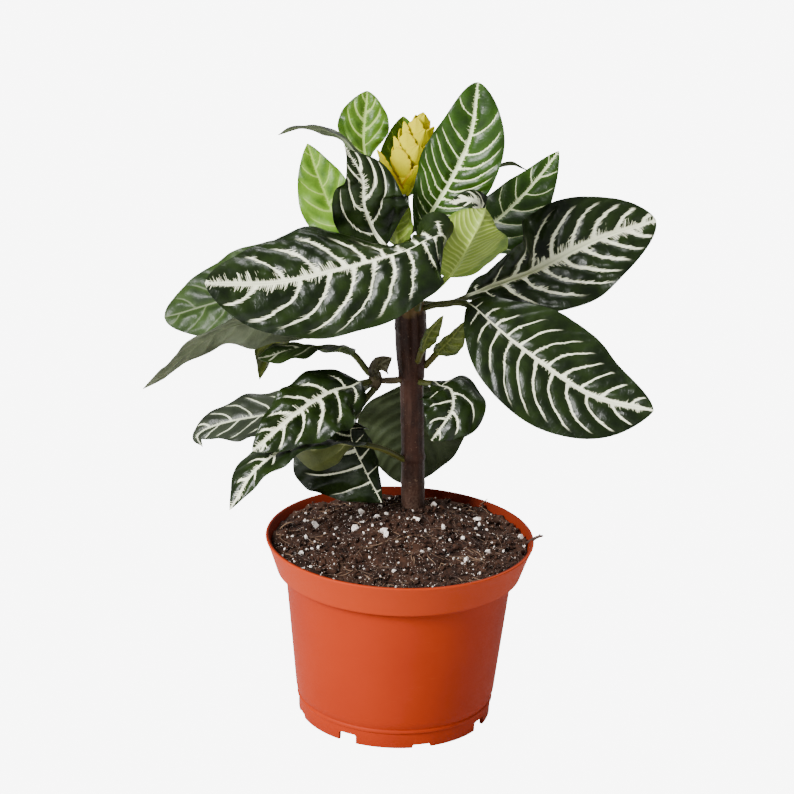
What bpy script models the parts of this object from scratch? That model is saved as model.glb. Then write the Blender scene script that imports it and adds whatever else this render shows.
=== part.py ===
"""A potted zebra plant: a terracotta pot, soil, a stem, its leaves and a flower spike.

The model is in metres with +Z up. The origin is the centre of the pot's foot, and the
plant is seen from -Y. Sizes and places below are in millimetres.
"""
import math

import bmesh
import bpy
import numpy as np
from mathutils import Vector, noise

MM = 0.001
GAP = 0.3

# Pot
POT_SIDES = 48
POT_HEIGHT = 108.7
RIM_RADIUS = 77.5
LIP_HEIGHT = 19.7
LIP_STEP = 5.0
WALL_TOP_RADIUS = 66.0
WALL_LOW_RADIUS = 58.2
WALL_THICKNESS = 1.7
FOOT_RADIUS = 56.4
FOOT_THICKNESS = 2.4
FOOT_HEIGHT = 9.2
RIDGE_OUT = 0.9
PAD_RADIUS = 11.0
FLOOR_LOW = 6.5
FLOOR_TOP = 8.3
NOTCHES = 8
NOTCH_TURN = -118.0
NOTCH_WIDTH = 11.0
DEEP_NOTCH = 5.5
SHALLOW_NOTCH = 2.0
DRAIN_HOLES = 6
DRAIN_RADIUS = 4.0
DRAIN_RING = 34.0
DRAIN_TURN = 10.5

# Soil
SOIL_EDGE = 102.6
SOIL_PEAK = 118.0
SOIL_SECTORS = 40
SOIL_RINGS = 9
SOIL_LUMP = 1.6
SOIL_LUMP_SIZE = 11.0

# Stem: height, sideways place, depth and radius up the main axis
STEM_DEPTH = 24.0
STEM_FOOT = 70.0
STEM_TOP = 299.0
STEM_SIDES = 20
STEM = [
    (STEM_FOOT, 7.0, STEM_DEPTH, 6.9), (118.0, 7.0, STEM_DEPTH, 6.9), (146.0, 6.0, STEM_DEPTH, 6.7),
    (149.0, 5.9, STEM_DEPTH, 7.1), (152.0, 5.8, STEM_DEPTH, 6.6), (192.0, 3.9, STEM_DEPTH, 6.7),
    (199.0, 3.5, STEM_DEPTH, 7.4), (207.0, 3.2, STEM_DEPTH, 8.4), (216.0, 2.8, STEM_DEPTH, 9.0),
    (235.0, 1.8, STEM_DEPTH, 9.1), (240.0, 1.5, STEM_DEPTH, 8.6), (244.0, 1.2, 24.3, 6.6),
    (249.0, 0.9, 25.4, 4.8), (256.0, 0.2, 27.5, 3.8), (280.0, -3.0, 37.0, 3.4),
    (STEM_TOP, -4.7, 45.0, 3.2),
]
GROOVE_TURN = -84.0
GROOVE_DEPTH = 1.3
GROOVE_FROM = 205.0
GROOVE_TO = 243.0
SHOOT_ROUTE = [(4.0, 22.0, 198.0), (-7.0, 22.0, 195.0), (-17.0, 22.0, 195.0)]
SHOOT_RADIUS = 1.9
BUD_PLACE = (-17.0, 22.0, 195.0)
BUD_RADIUS = 4.0
BUD_HEIGHT = 13.0

# Flower spike. A bract's climb runs from 0 at the lowest to 1 at the top one.
# BRACT_REACH: climb, and how far the tip stands from the axis.
# BRACT_OUTLINE: share of the bract's length, and its half width as a share of the widest.
SPIKE_BASE = (-4.7, 45.0, STEM_TOP + GAP)
SPIKE_TIP = (4.5, 60.0, 341.2)
CORE_LENGTH = 0.78
CORE_RADII = [3.2, 5.4, 6.2, 5.8, 4.4, 1.8]
CORE_SIDES = 9
BRACTS = 24
BRACT_TURN = 136.0
BRACT_START = 180.0
BRACT_FOOT_RADIUS = 2.0
BRACT_FOOT_LOW, BRACT_FOOT_TOP = 1.8, 33.0
BRACT_TIP_LOW, BRACT_TIP_TOP = 21.0, 48.5
BRACT_REACH = [(0.0, 20.5), (0.05, 16.0), (0.3, 13.5), (0.6, 12.0), (0.8, 8.0), (1.0, 1.2)]
BRACT_OUTLINE = [(0.0, 0.55), (0.3, 0.95), (0.6, 1.0), (0.85, 0.62), (1.0, 0.06)]
BRACT_WIDTH = 15.0
BRACT_NARROWER = 0.35
BRACT_BOW = 2.0
BRACT_CUP = 0.35
BRACT_THICKNESS = 0.9
BRACT_COLUMNS = 3

# Leaves
BLADE_THICKNESS = 0.8
STALK_WIDTH = 3.6
KEEL_DEPTH = 1.6
KEEL_WIDTH = 1.6
STALK_ROWS = 3
WIDE_LEAF = 36.0
WIDE_ROWS, WIDE_COLUMNS = 13, 7
SMALL_ROWS, SMALL_COLUMNS = 9, 5

# Colours
TERRACOTTA = (0.58, 0.11, 0.035)
SOIL_BROWN = (0.045, 0.022, 0.014)
STEM_BROWN = (0.055, 0.022, 0.02)
DARK_GREEN = (0.018, 0.05, 0.022)
YOUNG_GREEN = (0.2, 0.36, 0.07)
OLIVE_GREEN = (0.12, 0.17, 0.04)
YELLOW = (0.95, 0.72, 0.02)

# Every leaf grows at a height on the stem, or on the bud, turned about it in degrees.
# route: points of the midrib after the root. faces: azimuth and rise of the upper side,
# evenly along the leaf. width: the blade's full width. stalk: the bare share of the length.
# widest: where the blade is widest. base and tip: above 1 tapers, below 1 is blunt.
# share, fold, curl and cup: right and left halves; cup adds a fold that fades out
# between its last two values. wave and waves: height and count of the margin's waves.
LEAVES = {
    "leaf_front_left": dict(
        height=240, turn=300, width=72, stalk=0.29, base=0.5, tip=0.6, widest=0.48, share=(0.92, 1.0),
        route=[(8, 8, 257), (15, -2, 277), (18.5, -14, 292), (9, -21, 293.5), (-3, -24, 287.5),
               (-35, -27, 277), (-72, -33, 269), (-110.5, -40, 269)],
        faces=[(300, 20), (300, 25), (288, 36), (280, 38), (275, 34)],
        fold=(0, -5), curl=(-30, -15), cup=(-66, 0, 0.16, 0.62), wave=2.0, waves=4),
    "leaf_lower_right": dict(
        height=240, turn=-20, width=68, stalk=0.2, base=0.7, tip=0.7, widest=0.48, share=(0.95, 0.9),
        route=[(20, 14, 245), (36, 4, 247), (63, -12, 230), (102, -26, 208), (138, -34, 202)],
        faces=[(270, 60), (270, 35), (270, 25)], fold=(6, 6), curl=(-14, -14), wave=1.2, waves=3),
    "leaf_right": dict(
        height=240, turn=35, width=61, stalk=0.22, tip=0.62, widest=0.52, share=(1.08, 1.0),
        route=[(25, 44, 236), (47, 58, 242), (73, 66, 251), (110, 74, 269), (144, 82, 279)],
        faces=[(270, 60), (270, 36), (270, 28)],
        fold=(12, 12), curl=(-10, -10), cup=(0, 62, 0.32, 0.46), wave=2.5, waves=3),
    "leaf_top_right": dict(
        height=264, turn=60, width=46, stalk=0.13, tip=0.6, widest=0.52, share=(0.98, 0.92),
        route=[(6, 34, 269), (9, 33, 287), (22, 33, 312), (32, 34, 338), (35, 36, 368)],
        faces=[(262, 30), (262, 25), (262, 20)], fold=(8, 18), curl=(-8, -8)),
    "leaf_back_right": dict(
        height=254, turn=10, width=44, stalk=0.2, tip=0.8, share=(1.12, 0.72),
        route=[(20, 46, 260), (35, 78, 266), (51, 96, 272), (69, 110, 287), (87, 120, 309)],
        faces=[(262, 40), (262, 35), (262, 30)], fold=(10, 10), curl=(-8, -8)),
    "leaf_back_thin": dict(
        height=279, turn=40, width=24, stalk=0.3, tip=0.9,
        route=[(14, 52, 290), (38, 60, 309), (56, 62, 315.5), (66.5, 60, 312.3)],
        faces=[(90, 66), (90, 68), (90, 69)], fold=(4, 4), wave=0.8),
    "leaf_under_right": dict(
        height=245, turn=0, width=60, stalk=0.32, tip=0.7, widest=0.34, share=(0.86, 1.0), colour=YOUNG_GREEN,
        route=[(16, 19, 253), (25, 9, 267.5), (34, -3, 288.7), (39, -4, 300), (41, 5, 303.5)],
        faces=[(100, 20), (110, 20), (110, 20), (100, -30)], fold=(10, 10), curl=(10, 10), wave=1.0),
    "leaf_curl_right": dict(
        height=262, turn=0, width=20, stalk=0.4, tip=0.8,
        route=[(18, 24, 273), (34, 18, 291), (39, 12, 302), (33, 8, 308), (21, 7, 306)],
        faces=[(90, 60), (90, 80), (270, 60), (270, 50)], fold=(5, 5), wave=0.5),
    "leaf_left_young": dict(
        height=271, turn=150, width=32, stalk=0.35, tip=0.8, colour=YOUNG_GREEN,
        route=[(-25, 48, 264), (-43, 66, 278), (-54, 74, 300), (-61, 78, 319)],
        faces=[(262, 30), (262, 20)], fold=(12, 12), wave=1.0),
    "leaf_top_young": dict(
        height=285, turn=125, width=29, stalk=0.5, widest=0.52, colour=YOUNG_GREEN,
        route=[(-19, 48, 304), (-28, 56, 324), (-27, 62, 355)],
        faces=[(265, 20), (265, 20)], fold=(12, 12), wave=1.5),
    "leaf_thin_left": dict(
        height=289, turn=180, width=26, stalk=0.15, tip=0.9,
        route=[(-23, 26, 318), (-41, 32, 337), (-64, 35, 340), (-76, 37, 334)],
        faces=[(90, 60), (90, 66), (90, 68)], fold=(0, 0), curl=(-20, -20), wave=1.0),
    "leaf_front_curly": dict(
        height=262, turn=240, width=42, stalk=0.25, tip=1.3, widest=0.4, share=(1.12, 0.88),
        route=[(-10, 18, 272), (-20, 13, 286), (-26, 8, 303), (-27.5, 8, 319), (-38, 11, 335.5)],
        faces=[(250, 40), (270, 20), (300, 10)], fold=(-5, -5), curl=(16, 16)),
    "leaf_behind_flower": dict(
        height=272, turn=75, width=30, stalk=0.4, share=(0.8, 1), colour=YOUNG_GREEN,
        route=[(-3, 58, 294), (-4, 70, 314), (-6, 74, 338)],
        faces=[(268, 20), (268, 20)], fold=(12, 12), curl=(-8, -8), wave=1.0),
    "leaf_front_young": dict(
        height=273, turn=235, width=18, stalk=0.15, tip=0.8, colour=YOUNG_GREEN,
        route=[(-7, 22, 279), (-8, 22, 289), (-6, 22, 298), (-4, 22, 306)],
        faces=[(80, 10), (80, 10)], fold=(10, 10), curl=(0, 0), wave=0.6),
    "leaf_back_left": dict(
        height=240, turn=145, width=57, stalk=0.3, tip=0.55, colour=YOUNG_GREEN,
        route=[(-30, 58, 238), (-63, 74, 236), (-105, 84, 222), (-145, 92, 206)],
        faces=[(262, 40), (262, 30), (240, 30)], fold=(6, 6), curl=(-14, -14), wave=2.0),
    "leaf_long_left": dict(
        height=236, turn=195, width=42, stalk=0.2, tip=0.9,
        route=[(-25, 10, 240), (-60, 6, 237), (-104, 0, 231), (-147, -14, 198)],
        faces=[(95, 68), (95, 66), (95, 58)], fold=(-5, 0), curl=(-10, -5), cup=(-32, 0, 0.35, 0.75)),
    "leaf_hidden_left": dict(
        height=233, turn=170, width=34, stalk=0.25, tip=0.9, colour=OLIVE_GREEN,
        route=[(-44, 36, 222), (-75, 42, 210), (-85, 46, 185)],
        faces=[(95, 60), (120, 50), (150, 10)], fold=(10, 10)),
    "leaf_shade_left": dict(
        bud=True, height=199, turn=178, width=38, stalk=0.25,
        route=[(-34, 13, 216), (-60, 3, 220), (-83, -3, 214.5)],
        faces=[(95, 60), (120, 70), (220, 50)], fold=(5, 5), curl=(-20, -20)),
    "leaf_low_front": dict(
        bud=True, height=195, turn=215, width=46, stalk=0.12, widest=0.4, share=(0.78, 1.12),
        route=[(-30, 6, 197), (-42, -2, 196), (-60, -16, 188), (-84, -30, 169)],
        faces=[(280, 55), (265, 50), (262, 40)], curl=(-20, -20), wave=2.5),
    "leaf_low_far_left": dict(
        bud=True, height=192, turn=152, width=37, stalk=0.3, tip=1.0,
        route=[(-32, 36, 180), (-67, 48, 166), (-106, 56, 154), (-122, 58, 145), (-119, 58, 137)],
        faces=[(262, 70), (262, 68), (220, 40)], curl=(-15, -15)),
    "leaf_low_down_left": dict(
        height=148, turn=215, width=42, stalk=0.25, tip=0.9, widest=0.4, share=(1.2, 0.75),
        route=[(-14, 6, 160), (-37, -6, 168), (-58, -16, 171), (-82, -28, 158), (-96, -38, 136)],
        faces=[(95, 60), (100, 75), (200, 55), (240, 20)],
        fold=(0, 0), curl=(-14, -14), cup=(-50, 0, 0.2, 0.55)),
    "leaf_soil_left": dict(
        bud=True, height=191, turn=262, width=60, stalk=0.3, tip=0.8, widest=0.38, share=(1.3, 0.45),
        route=[(-26, 14, 180), (-30, 11, 165), (-21, 7, 145), (-11, 4, 127)],
        faces=[(250, 20), (250, 20)], fold=(5, -60), curl=(-10, 0)),
    "leaf_low_back": dict(
        height=200, turn=95, width=64, stalk=0.35, tip=0.6, colour=OLIVE_GREEN,
        route=[(2, 46, 198), (5, 58, 180), (5, 62, 150), (1, 60, 117)],
        faces=[(90, 60), (90, 20), (90, 10)], curl=(-14, -14), wave=2.0),
    "leaf_low_right": dict(
        height=196, turn=-45, width=37, stalk=0.2, tip=0.8, widest=0.5,
        route=[(18, 8, 199), (26, 0, 199), (27, -10, 190), (16, -18, 174)],
        faces=[(90, 80), (285, 50), (285, 20)], fold=(5, 5), curl=(-20, -20), wave=2.0),
    "leaf_axil_large": dict(
        height=204, turn=-10, width=16, stalk=0.3, tip=0.9, colour=OLIVE_GREEN,
        route=[(17, 18, 213), (25, 11, 225), (32, 5, 237)],
        faces=[(300, 30), (300, 20)], fold=(30, 30), curl=(0, 0), wave=0.5),
    "leaf_axil_small": dict(
        height=209, turn=-60, width=10, stalk=0.3, tip=0.9, colour=OLIVE_GREEN,
        route=[(9, 9, 218), (13, 3, 231), (20, -3, 243)],
        faces=[(300, 30), (300, 20)], fold=(30, 30), curl=(0, 0), wave=0.5),
    "leaf_bud_small": dict(
        bud=True, height=198, turn=280, width=14, stalk=0.2, tip=0.9,
        route=[(-17, 14, 204), (-14, 11, 209), (-8, 10, 213)],
        faces=[(300, 20), (300, 20)], fold=(30, 30), curl=(0, 0), wave=0.5),
}


def clear_scene():
    for obj in list(bpy.data.objects):
        bpy.data.objects.remove(obj, do_unlink=True)


def make_material(name, colour, roughness):
    material = bpy.data.materials.new(name)
    material.use_nodes = True
    shader = material.node_tree.nodes["Principled BSDF"]
    shader.inputs["Base Color"].default_value = (*colour, 1.0)
    shader.inputs["Roughness"].default_value = roughness
    shader.inputs["Metallic"].default_value = 0.0
    return material


def add_object(name, bm, colour, roughness=0.5):
    """Turns a bmesh in millimetres into a smooth object in metres."""
    bmesh.ops.scale(bm, vec=(MM, MM, MM), verts=bm.verts)
    mesh = bpy.data.meshes.new(name)
    bm.to_mesh(mesh)
    bm.free()
    mesh.shade_smooth()
    mesh.set_sharp_from_angle(angle=math.radians(40))
    mesh.materials.append(make_material(name, colour, roughness))
    obj = bpy.data.objects.new(name, mesh)
    bpy.context.scene.collection.objects.link(obj)
    return obj


def hide_cutter(obj):
    obj.hide_render = True
    obj.display_type = "WIRE"


def join_boolean(obj, cutter, operation):
    hide_cutter(cutter)
    modifier = obj.modifiers.new(cutter.name, "BOOLEAN")
    modifier.operation = operation
    modifier.solver = "EXACT"
    modifier.object = cutter


def unit(vectors):
    return vectors / np.linalg.norm(vectors, axis=-1, keepdims=True)


def smoothstep(value):
    value = np.clip(value, 0.0, 1.0)
    return value * value * (3.0 - 2.0 * value)


def smooth_route(points, steps=24):
    """A smooth curve through the points, with its running length."""
    points = np.array(points, float)
    ends = [2 * points[0] - points[1], *points, 2 * points[-1] - points[-2]]
    curve = []
    for p0, p1, p2, p3 in zip(ends, ends[1:], ends[2:], ends[3:]):
        for t in np.linspace(0, 1, steps, endpoint=False):
            square = (2 * p0 - 5 * p1 + 4 * p2 - p3) * t * t
            cube = (3 * p1 - p0 - 3 * p2 + p3) * t ** 3
            curve.append(0.5 * (2 * p1 + (p2 - p0) * t + square + cube))
    curve.append(points[-1])
    curve = np.array(curve)
    lengths = np.linalg.norm(np.diff(curve, axis=0), axis=1)
    return curve, np.concatenate([[0.0], np.cumsum(lengths)])


def along_route(route, share):
    """The points at these shares of the route's length."""
    curve, run = route
    wanted = np.asarray(share) * run[-1]
    return np.stack([np.interp(wanted, run, curve[:, axis]) for axis in range(3)], -1)


def bridge_rings(bm, rings, close_ends=True):
    """Skins closed rings of vertices that run anticlockwise about the way they follow."""
    for low, high in zip(rings, rings[1:]):
        count = len(low)
        for i in range(count):
            j = (i + 1) % count
            bm.faces.new((low[i], low[j], high[j], high[i]))
    if close_ends:
        bm.faces.new(list(reversed(rings[0])))
        bm.faces.new(rings[-1])


def spin_profile(profile, sides):
    """Turns a profile of radius and height about Z. Its ends lie on the axis."""
    bm = bmesh.new()
    points = [bm.verts.new((radius, 0.0, height)) for radius, height in profile]
    edges = [bm.edges.new(pair) for pair in zip(points, points[1:])]
    bmesh.ops.spin(bm, geom=points + edges, axis=(0, 0, 1), cent=(0, 0, 0),
                   angle=2 * math.pi, steps=sides)
    bmesh.ops.remove_doubles(bm, verts=bm.verts, dist=1e-3)
    bmesh.ops.recalc_face_normals(bm, faces=bm.faces)
    return bm


def inner_radius(height):
    """The pot's inner radius at a height."""
    step_top = POT_HEIGHT - LIP_HEIGHT
    step_low = step_top - 3.0
    floor_edge = FLOOR_TOP + 6.0
    heights = [FLOOR_TOP, floor_edge, step_low, step_top + 1.0, POT_HEIGHT]
    low = WALL_LOW_RADIUS - WALL_THICKNESS
    top = WALL_TOP_RADIUS - WALL_THICKNESS
    lip = RIM_RADIUS - LIP_STEP - 1.5 - WALL_THICKNESS
    radii = [low - 3.0, low, top, lip, RIM_RADIUS - WALL_THICKNESS - 0.6]
    return float(np.interp(height, heights, radii))


def make_pot():
    lip_low = POT_HEIGHT - LIP_HEIGHT
    foot_inner = FOOT_RADIUS - FOOT_THICKNESS
    lip_radius = RIM_RADIUS - LIP_STEP - 1.5
    outer = [
        (0.0, 0.0), (PAD_RADIUS, 0.0), (PAD_RADIUS + 1.0, FLOOR_LOW), (foot_inner, FLOOR_LOW),
        (foot_inner, 0.0), (FOOT_RADIUS - 0.3, 0.0),
        (FOOT_RADIUS, FOOT_HEIGHT), (FOOT_RADIUS + RIDGE_OUT, FOOT_HEIGHT + 0.5),
        (FOOT_RADIUS + RIDGE_OUT, FOOT_HEIGHT + 1.8), (FOOT_RADIUS + 0.5, FOOT_HEIGHT + 2.3),
        (WALL_LOW_RADIUS - 0.5, FOOT_HEIGHT + 4.5), (WALL_LOW_RADIUS, FOOT_HEIGHT + 7.5),
        (WALL_TOP_RADIUS, lip_low - 1.2), (lip_radius - 0.6, lip_low), (lip_radius, lip_low + 0.8),
        (RIM_RADIUS - 0.2, POT_HEIGHT - 1.6), (RIM_RADIUS, POT_HEIGHT - 0.8),
        (RIM_RADIUS - 0.6, POT_HEIGHT - 0.1), (RIM_RADIUS - 1.4, POT_HEIGHT),
    ]
    inner = [
        (RIM_RADIUS - WALL_THICKNESS - 0.4, POT_HEIGHT - 0.8), (inner_radius(lip_low + 1.0), lip_low + 1.0),
        (inner_radius(lip_low - 3.0), lip_low - 3.0), (inner_radius(FLOOR_TOP + 6.0), FLOOR_TOP + 6.0),
        (inner_radius(FLOOR_TOP), FLOOR_TOP), (0.0, FLOOR_TOP),
    ]
    pot = add_object("pot", spin_profile(outer + inner, POT_SIDES), TERRACOTTA, 0.45)
    join_boolean(pot, make_pot_cutters(), "DIFFERENCE")
    return pot


def make_pot_cutters():
    """The notches under the foot, deep and shallow in turn, and the drainage holes."""
    bm = bmesh.new()
    for i in range(NOTCHES):
        turn = math.radians(NOTCH_TURN + 360.0 * i / NOTCHES)
        depth = DEEP_NOTCH if i % 2 == 0 else SHALLOW_NOTCH
        made = bmesh.ops.create_cube(bm, size=1.0)["verts"]
        bmesh.ops.scale(bm, vec=(10.0, NOTCH_WIDTH, 2 * depth), verts=made)
        bmesh.ops.translate(bm, vec=(FOOT_RADIUS, 0.0, 0.0), verts=made)
        rotation = Vector((1.0, 0.0, 0.0)).rotation_difference(
            Vector((math.cos(turn), math.sin(turn), 0.0)))
        bmesh.ops.rotate(bm, cent=(0, 0, 0), matrix=rotation.to_matrix(), verts=made)
    for i in range(DRAIN_HOLES):
        turn = math.radians(DRAIN_TURN + 360.0 * i / DRAIN_HOLES)
        made = bmesh.ops.create_cone(bm, cap_ends=True, segments=16, radius1=DRAIN_RADIUS,
                                     radius2=DRAIN_RADIUS, depth=6.0)["verts"]
        place = (DRAIN_RING * math.cos(turn), DRAIN_RING * math.sin(turn), (FLOOR_LOW + FLOOR_TOP) / 2)
        bmesh.ops.translate(bm, vec=place, verts=made)
    return add_object("pot_cutters", bm, TERRACOTTA)


def soil_height(x, y, share):
    """The mounded, lumpy surface; share runs from 0 at the stem to 1 at the pot."""
    mound = SOIL_EDGE + (SOIL_PEAK - SOIL_EDGE) * (1 - share) ** 1.25
    lump = noise.noise(Vector((x, y, 0.0)) / SOIL_LUMP_SIZE) * 2.0
    fade = min(1.0, 6.0 * share, 1.0 + 2.0 * (1.0 - share))
    return mound + SOIL_LUMP * lump * fade


def make_soil():
    """One closed ring of soil: its hole takes the stem and its side follows the pot."""
    bm = bmesh.new()
    stem_x, hole = STEM[0][1], STEM[0][3] + GAP + 0.1
    edge_radius = inner_radius(SOIL_EDGE) - GAP - 0.2
    hole_foot = STEM_FOOT - GAP
    sections = []
    for i in range(SOIL_SECTORS):
        turn = 2 * math.pi * i / SOIL_SECTORS
        way = Vector((math.cos(turn), math.sin(turn)))
        stem = Vector((stem_x, STEM_DEPTH))
        across = stem.dot(way)
        reach = -across + math.sqrt(across ** 2 - stem.dot(stem) + edge_radius ** 2)
        column = []
        for ring in range(SOIL_RINGS):
            share = ring / (SOIL_RINGS - 1)
            place = stem + way * (hole + (reach - hole) * share)
            column.append(bm.verts.new((place.x, place.y, soil_height(place.x, place.y, share))))
        edge = (stem + way * reach).normalized()
        for height in (POT_HEIGHT - LIP_HEIGHT + 1.0, POT_HEIGHT - LIP_HEIGHT - 3.0, FLOOR_TOP + 6.0,
                       FLOOR_TOP + GAP):
            radius = inner_radius(height) - GAP - 0.2
            column.append(bm.verts.new((edge.x * radius, edge.y * radius, height)))
        foot = stem + way * hole
        column.insert(0, bm.verts.new((foot.x, foot.y, hole_foot)))
        sections.append(column)
    for left, right in zip(sections, sections[1:] + sections[:1]):
        for a, b, c, d in zip(left, left[1:], right[1:], right):
            bm.faces.new((a, b, c, d))
    bm.faces.new([column[0] for column in sections])
    bm.faces.new([column[-1] for column in reversed(sections)])
    bmesh.ops.triangulate(bm, faces=bm.faces)
    bmesh.ops.recalc_face_normals(bm, faces=bm.faces)
    return add_object("soil", bm, SOIL_BROWN, 0.95)


def stem_at(height):
    """The stem's sideways place, depth and radius at a height."""
    heights, *columns = zip(*STEM)
    return [float(np.interp(height, heights, column)) for column in columns]


def make_stem():
    bm = bmesh.new()
    rings = []
    for height, place, depth, radius in STEM:
        inside = GROOVE_FROM < height < GROOVE_TO
        ring = []
        for i in range(STEM_SIDES):
            turn = math.radians(GROOVE_TURN) + 2 * math.pi * i / STEM_SIDES
            reach = radius - GROOVE_DEPTH if inside and i == 0 else radius
            point = (place + reach * math.cos(turn), depth + reach * math.sin(turn), height)
            ring.append(bm.verts.new(point))
        rings.append(ring)
    bridge_rings(bm, rings)
    stem = add_object("stem", bm, STEM_BROWN, 0.6)
    join_boolean(stem, make_side_shoot(), "UNION")
    join_boolean(stem, make_bud(), "UNION")
    return stem


def make_side_shoot():
    """The thin twig from the second joint of the stem to the bud."""
    bm = bmesh.new()
    route = smooth_route(SHOOT_ROUTE)
    rings = []
    for point in along_route(route, np.linspace(0, 1, 6)):
        ring = []
        for i in range(8):
            turn = 2 * math.pi * i / 8
            offset = (0.0, SHOOT_RADIUS * math.cos(turn), SHOOT_RADIUS * math.sin(turn))
            ring.append(bm.verts.new(Vector(point) + Vector(offset)))
        rings.append(ring)
    bridge_rings(bm, rings)
    bmesh.ops.recalc_face_normals(bm, faces=bm.faces)
    return add_object("side_shoot", bm, STEM_BROWN)


def make_bud():
    bm = bmesh.new()
    bmesh.ops.create_icosphere(bm, subdivisions=2, radius=BUD_RADIUS)
    bmesh.ops.scale(bm, vec=(1.0, 1.0, BUD_HEIGHT / (2 * BUD_RADIUS)), verts=bm.verts)
    bmesh.ops.translate(bm, vec=BUD_PLACE, verts=bm.verts)
    return add_object("side_bud", bm, STEM_BROWN)


def direction(azimuth, rise):
    turn, lift = math.radians(azimuth), math.radians(rise)
    return np.array([math.cos(lift) * math.cos(turn), math.cos(lift) * math.sin(turn), math.sin(lift)])


def leaf_root(leaf):
    """Where the stalk meets the stem or the bud, and the way out from it."""
    out = direction(leaf["turn"], 0.0)
    if leaf.get("bud"):
        place, depth = BUD_PLACE[:2]
        aside = max(0.0, abs(leaf["height"] - BUD_PLACE[2]) - STALK_WIDTH / 2)
        radius = BUD_RADIUS * math.sqrt(1 - (2 * aside / BUD_HEIGHT) ** 2)
    else:
        place, depth, radius = stem_at(leaf["height"])
        for height in (leaf["height"] - 2.2, leaf["height"] + 2.2):
            x, y, near = stem_at(height)
            shift = np.array([x - place, y - depth, 0.0]) @ out
            radius = max(radius, near + shift)
    return np.array([place, depth, leaf["height"]]) + out * (radius + GAP), out


def blade_half(leaf, share):
    """Half of the blade's width at shares of its length."""
    power = math.log(0.5) / math.log(leaf.get("widest", 0.45))
    taper = leaf.get("base", 0.95) * (1 - share) + leaf.get("tip", 0.7) * share
    swell = np.sin(np.pi * np.clip(share, 1e-6, 1 - 1e-6) ** power) ** taper
    return leaf["width"] / 2 * swell


def leaf_shares(leaf, blade_rows):
    """The rows of the leaf as shares of its length, closer near the blade's two ends."""
    stalk = leaf["stalk"]
    even = np.linspace(0, 1, blade_rows)
    blade = 0.75 * even + 0.25 * (1 - np.cos(np.pi * even)) / 2
    return np.concatenate([np.linspace(0, stalk, STALK_ROWS, endpoint=False), stalk + (1 - stalk) * blade])


def leaf_grids(leaf, blade_rows, columns):
    """The points of the leaf's upper and lower sides, row by row from the root."""
    root, out = leaf_root(leaf)
    route = smooth_route([root, *leaf["route"]])
    rows = leaf_shares(leaf, blade_rows)
    middle = along_route(route, rows)
    ahead = along_route(route, np.clip(rows + 0.01, 0, 1))
    behind = along_route(route, np.clip(rows - 0.01, 0, 1))
    tangent = unit(ahead - behind)
    ways = np.array([direction(*face) for face in leaf["faces"]])
    knots = np.linspace(0, 1, len(ways))
    face = unit(np.stack([np.interp(rows, knots, ways[:, axis]) for axis in range(3)], -1))
    side = unit(np.cross(tangent, face))
    normal = np.cross(side, tangent)

    share = np.clip((rows - leaf["stalk"]) / (1 - leaf["stalk"]), 0, 1)
    blade = smoothstep(share / 0.12)
    stalk_half = STALK_WIDTH / 2
    half = np.maximum(stalk_half * (1 - share) ** 2 + blade_half(leaf, share), 0.5)
    cup = leaf.get("cup", (0, 0, 0.2, 0.5))
    fade = 1 - smoothstep((share - cup[2]) / (cup[3] - cup[2]))
    upper = np.zeros((len(rows), columns, 3))
    lower = np.zeros((len(rows), columns, 3))
    for j, across in enumerate(np.linspace(-1, 1, columns)):
        hand = 0 if across >= 0 else 1
        out_share = abs(across)
        reach = half * (1 + (leaf.get("share", (1, 1))[hand] - 1) * blade)
        fold = math.radians(leaf.get("fold", (8, 8))[hand]) + math.radians(cup[hand]) * fade
        fold = fold * blade
        curl = math.radians(leaf.get("curl", (-10, -10))[hand]) * blade + 1e-6
        slope = fold + curl * out_share
        sideways = (np.sin(slope) - np.sin(fold)) / curl * reach * math.copysign(1, across)
        ripples = np.sin(2 * np.pi * (leaf.get("waves", 4) * share + 0.37 * hand))
        ripple = leaf.get("wave", 1.5) * out_share ** 2 * ripples * np.sin(np.pi * share)
        lift = (np.cos(fold) - np.cos(slope)) / curl * reach + ripple
        stalk_rise = stalk_half * 0.8 * math.sqrt(1 - 0.85 * across * across) * (1 - blade)
        keel = KEEL_DEPTH * (1 - share) * np.exp(-(out_share * reach / KEEL_WIDTH) ** 2) * blade
        depth = BLADE_THICKNESS + keel + stalk_rise
        away = normal * np.cos(slope)[:, None] - side * np.sin(slope)[:, None] * math.copysign(1, across)
        base = middle + side * sideways[:, None] + normal * lift[:, None]
        upper[:, j] = base + away * stalk_rise[:, None]
        lower[:, j] = base - away * depth[:, None]
    for grid in (upper, lower):
        grid[0] -= ((grid[0] - root) @ out)[:, None] * out
    return upper, lower


def add_sheet_faces(bm, upper, lower):
    """Closes two matching grids of points into a sheet, split alike on both sides."""
    tops = [[bm.verts.new(point) for point in row] for row in upper]
    lows = [[bm.verts.new(point) for point in row] for row in lower]
    last = len(tops[0]) - 1
    for i in range(len(tops) - 1):
        for j in range(last):
            bm.faces.new((tops[i][j], tops[i + 1][j + 1], tops[i + 1][j])[::-1])
            bm.faces.new((tops[i][j], tops[i][j + 1], tops[i + 1][j + 1])[::-1])
            bm.faces.new((lows[i][j], lows[i + 1][j + 1], lows[i + 1][j]))
            bm.faces.new((lows[i][j], lows[i][j + 1], lows[i + 1][j + 1]))
        bm.faces.new((tops[i][0], tops[i + 1][0], lows[i + 1][0], lows[i][0]))
        bm.faces.new((lows[i][last], lows[i + 1][last], tops[i + 1][last], tops[i][last]))
    bm.faces.new(tops[0] + lows[0][::-1])
    bm.faces.new(lows[-1] + tops[-1][::-1])
    bmesh.ops.triangulate(bm, faces=[face for face in bm.faces if len(face.verts) > 3])


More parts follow.
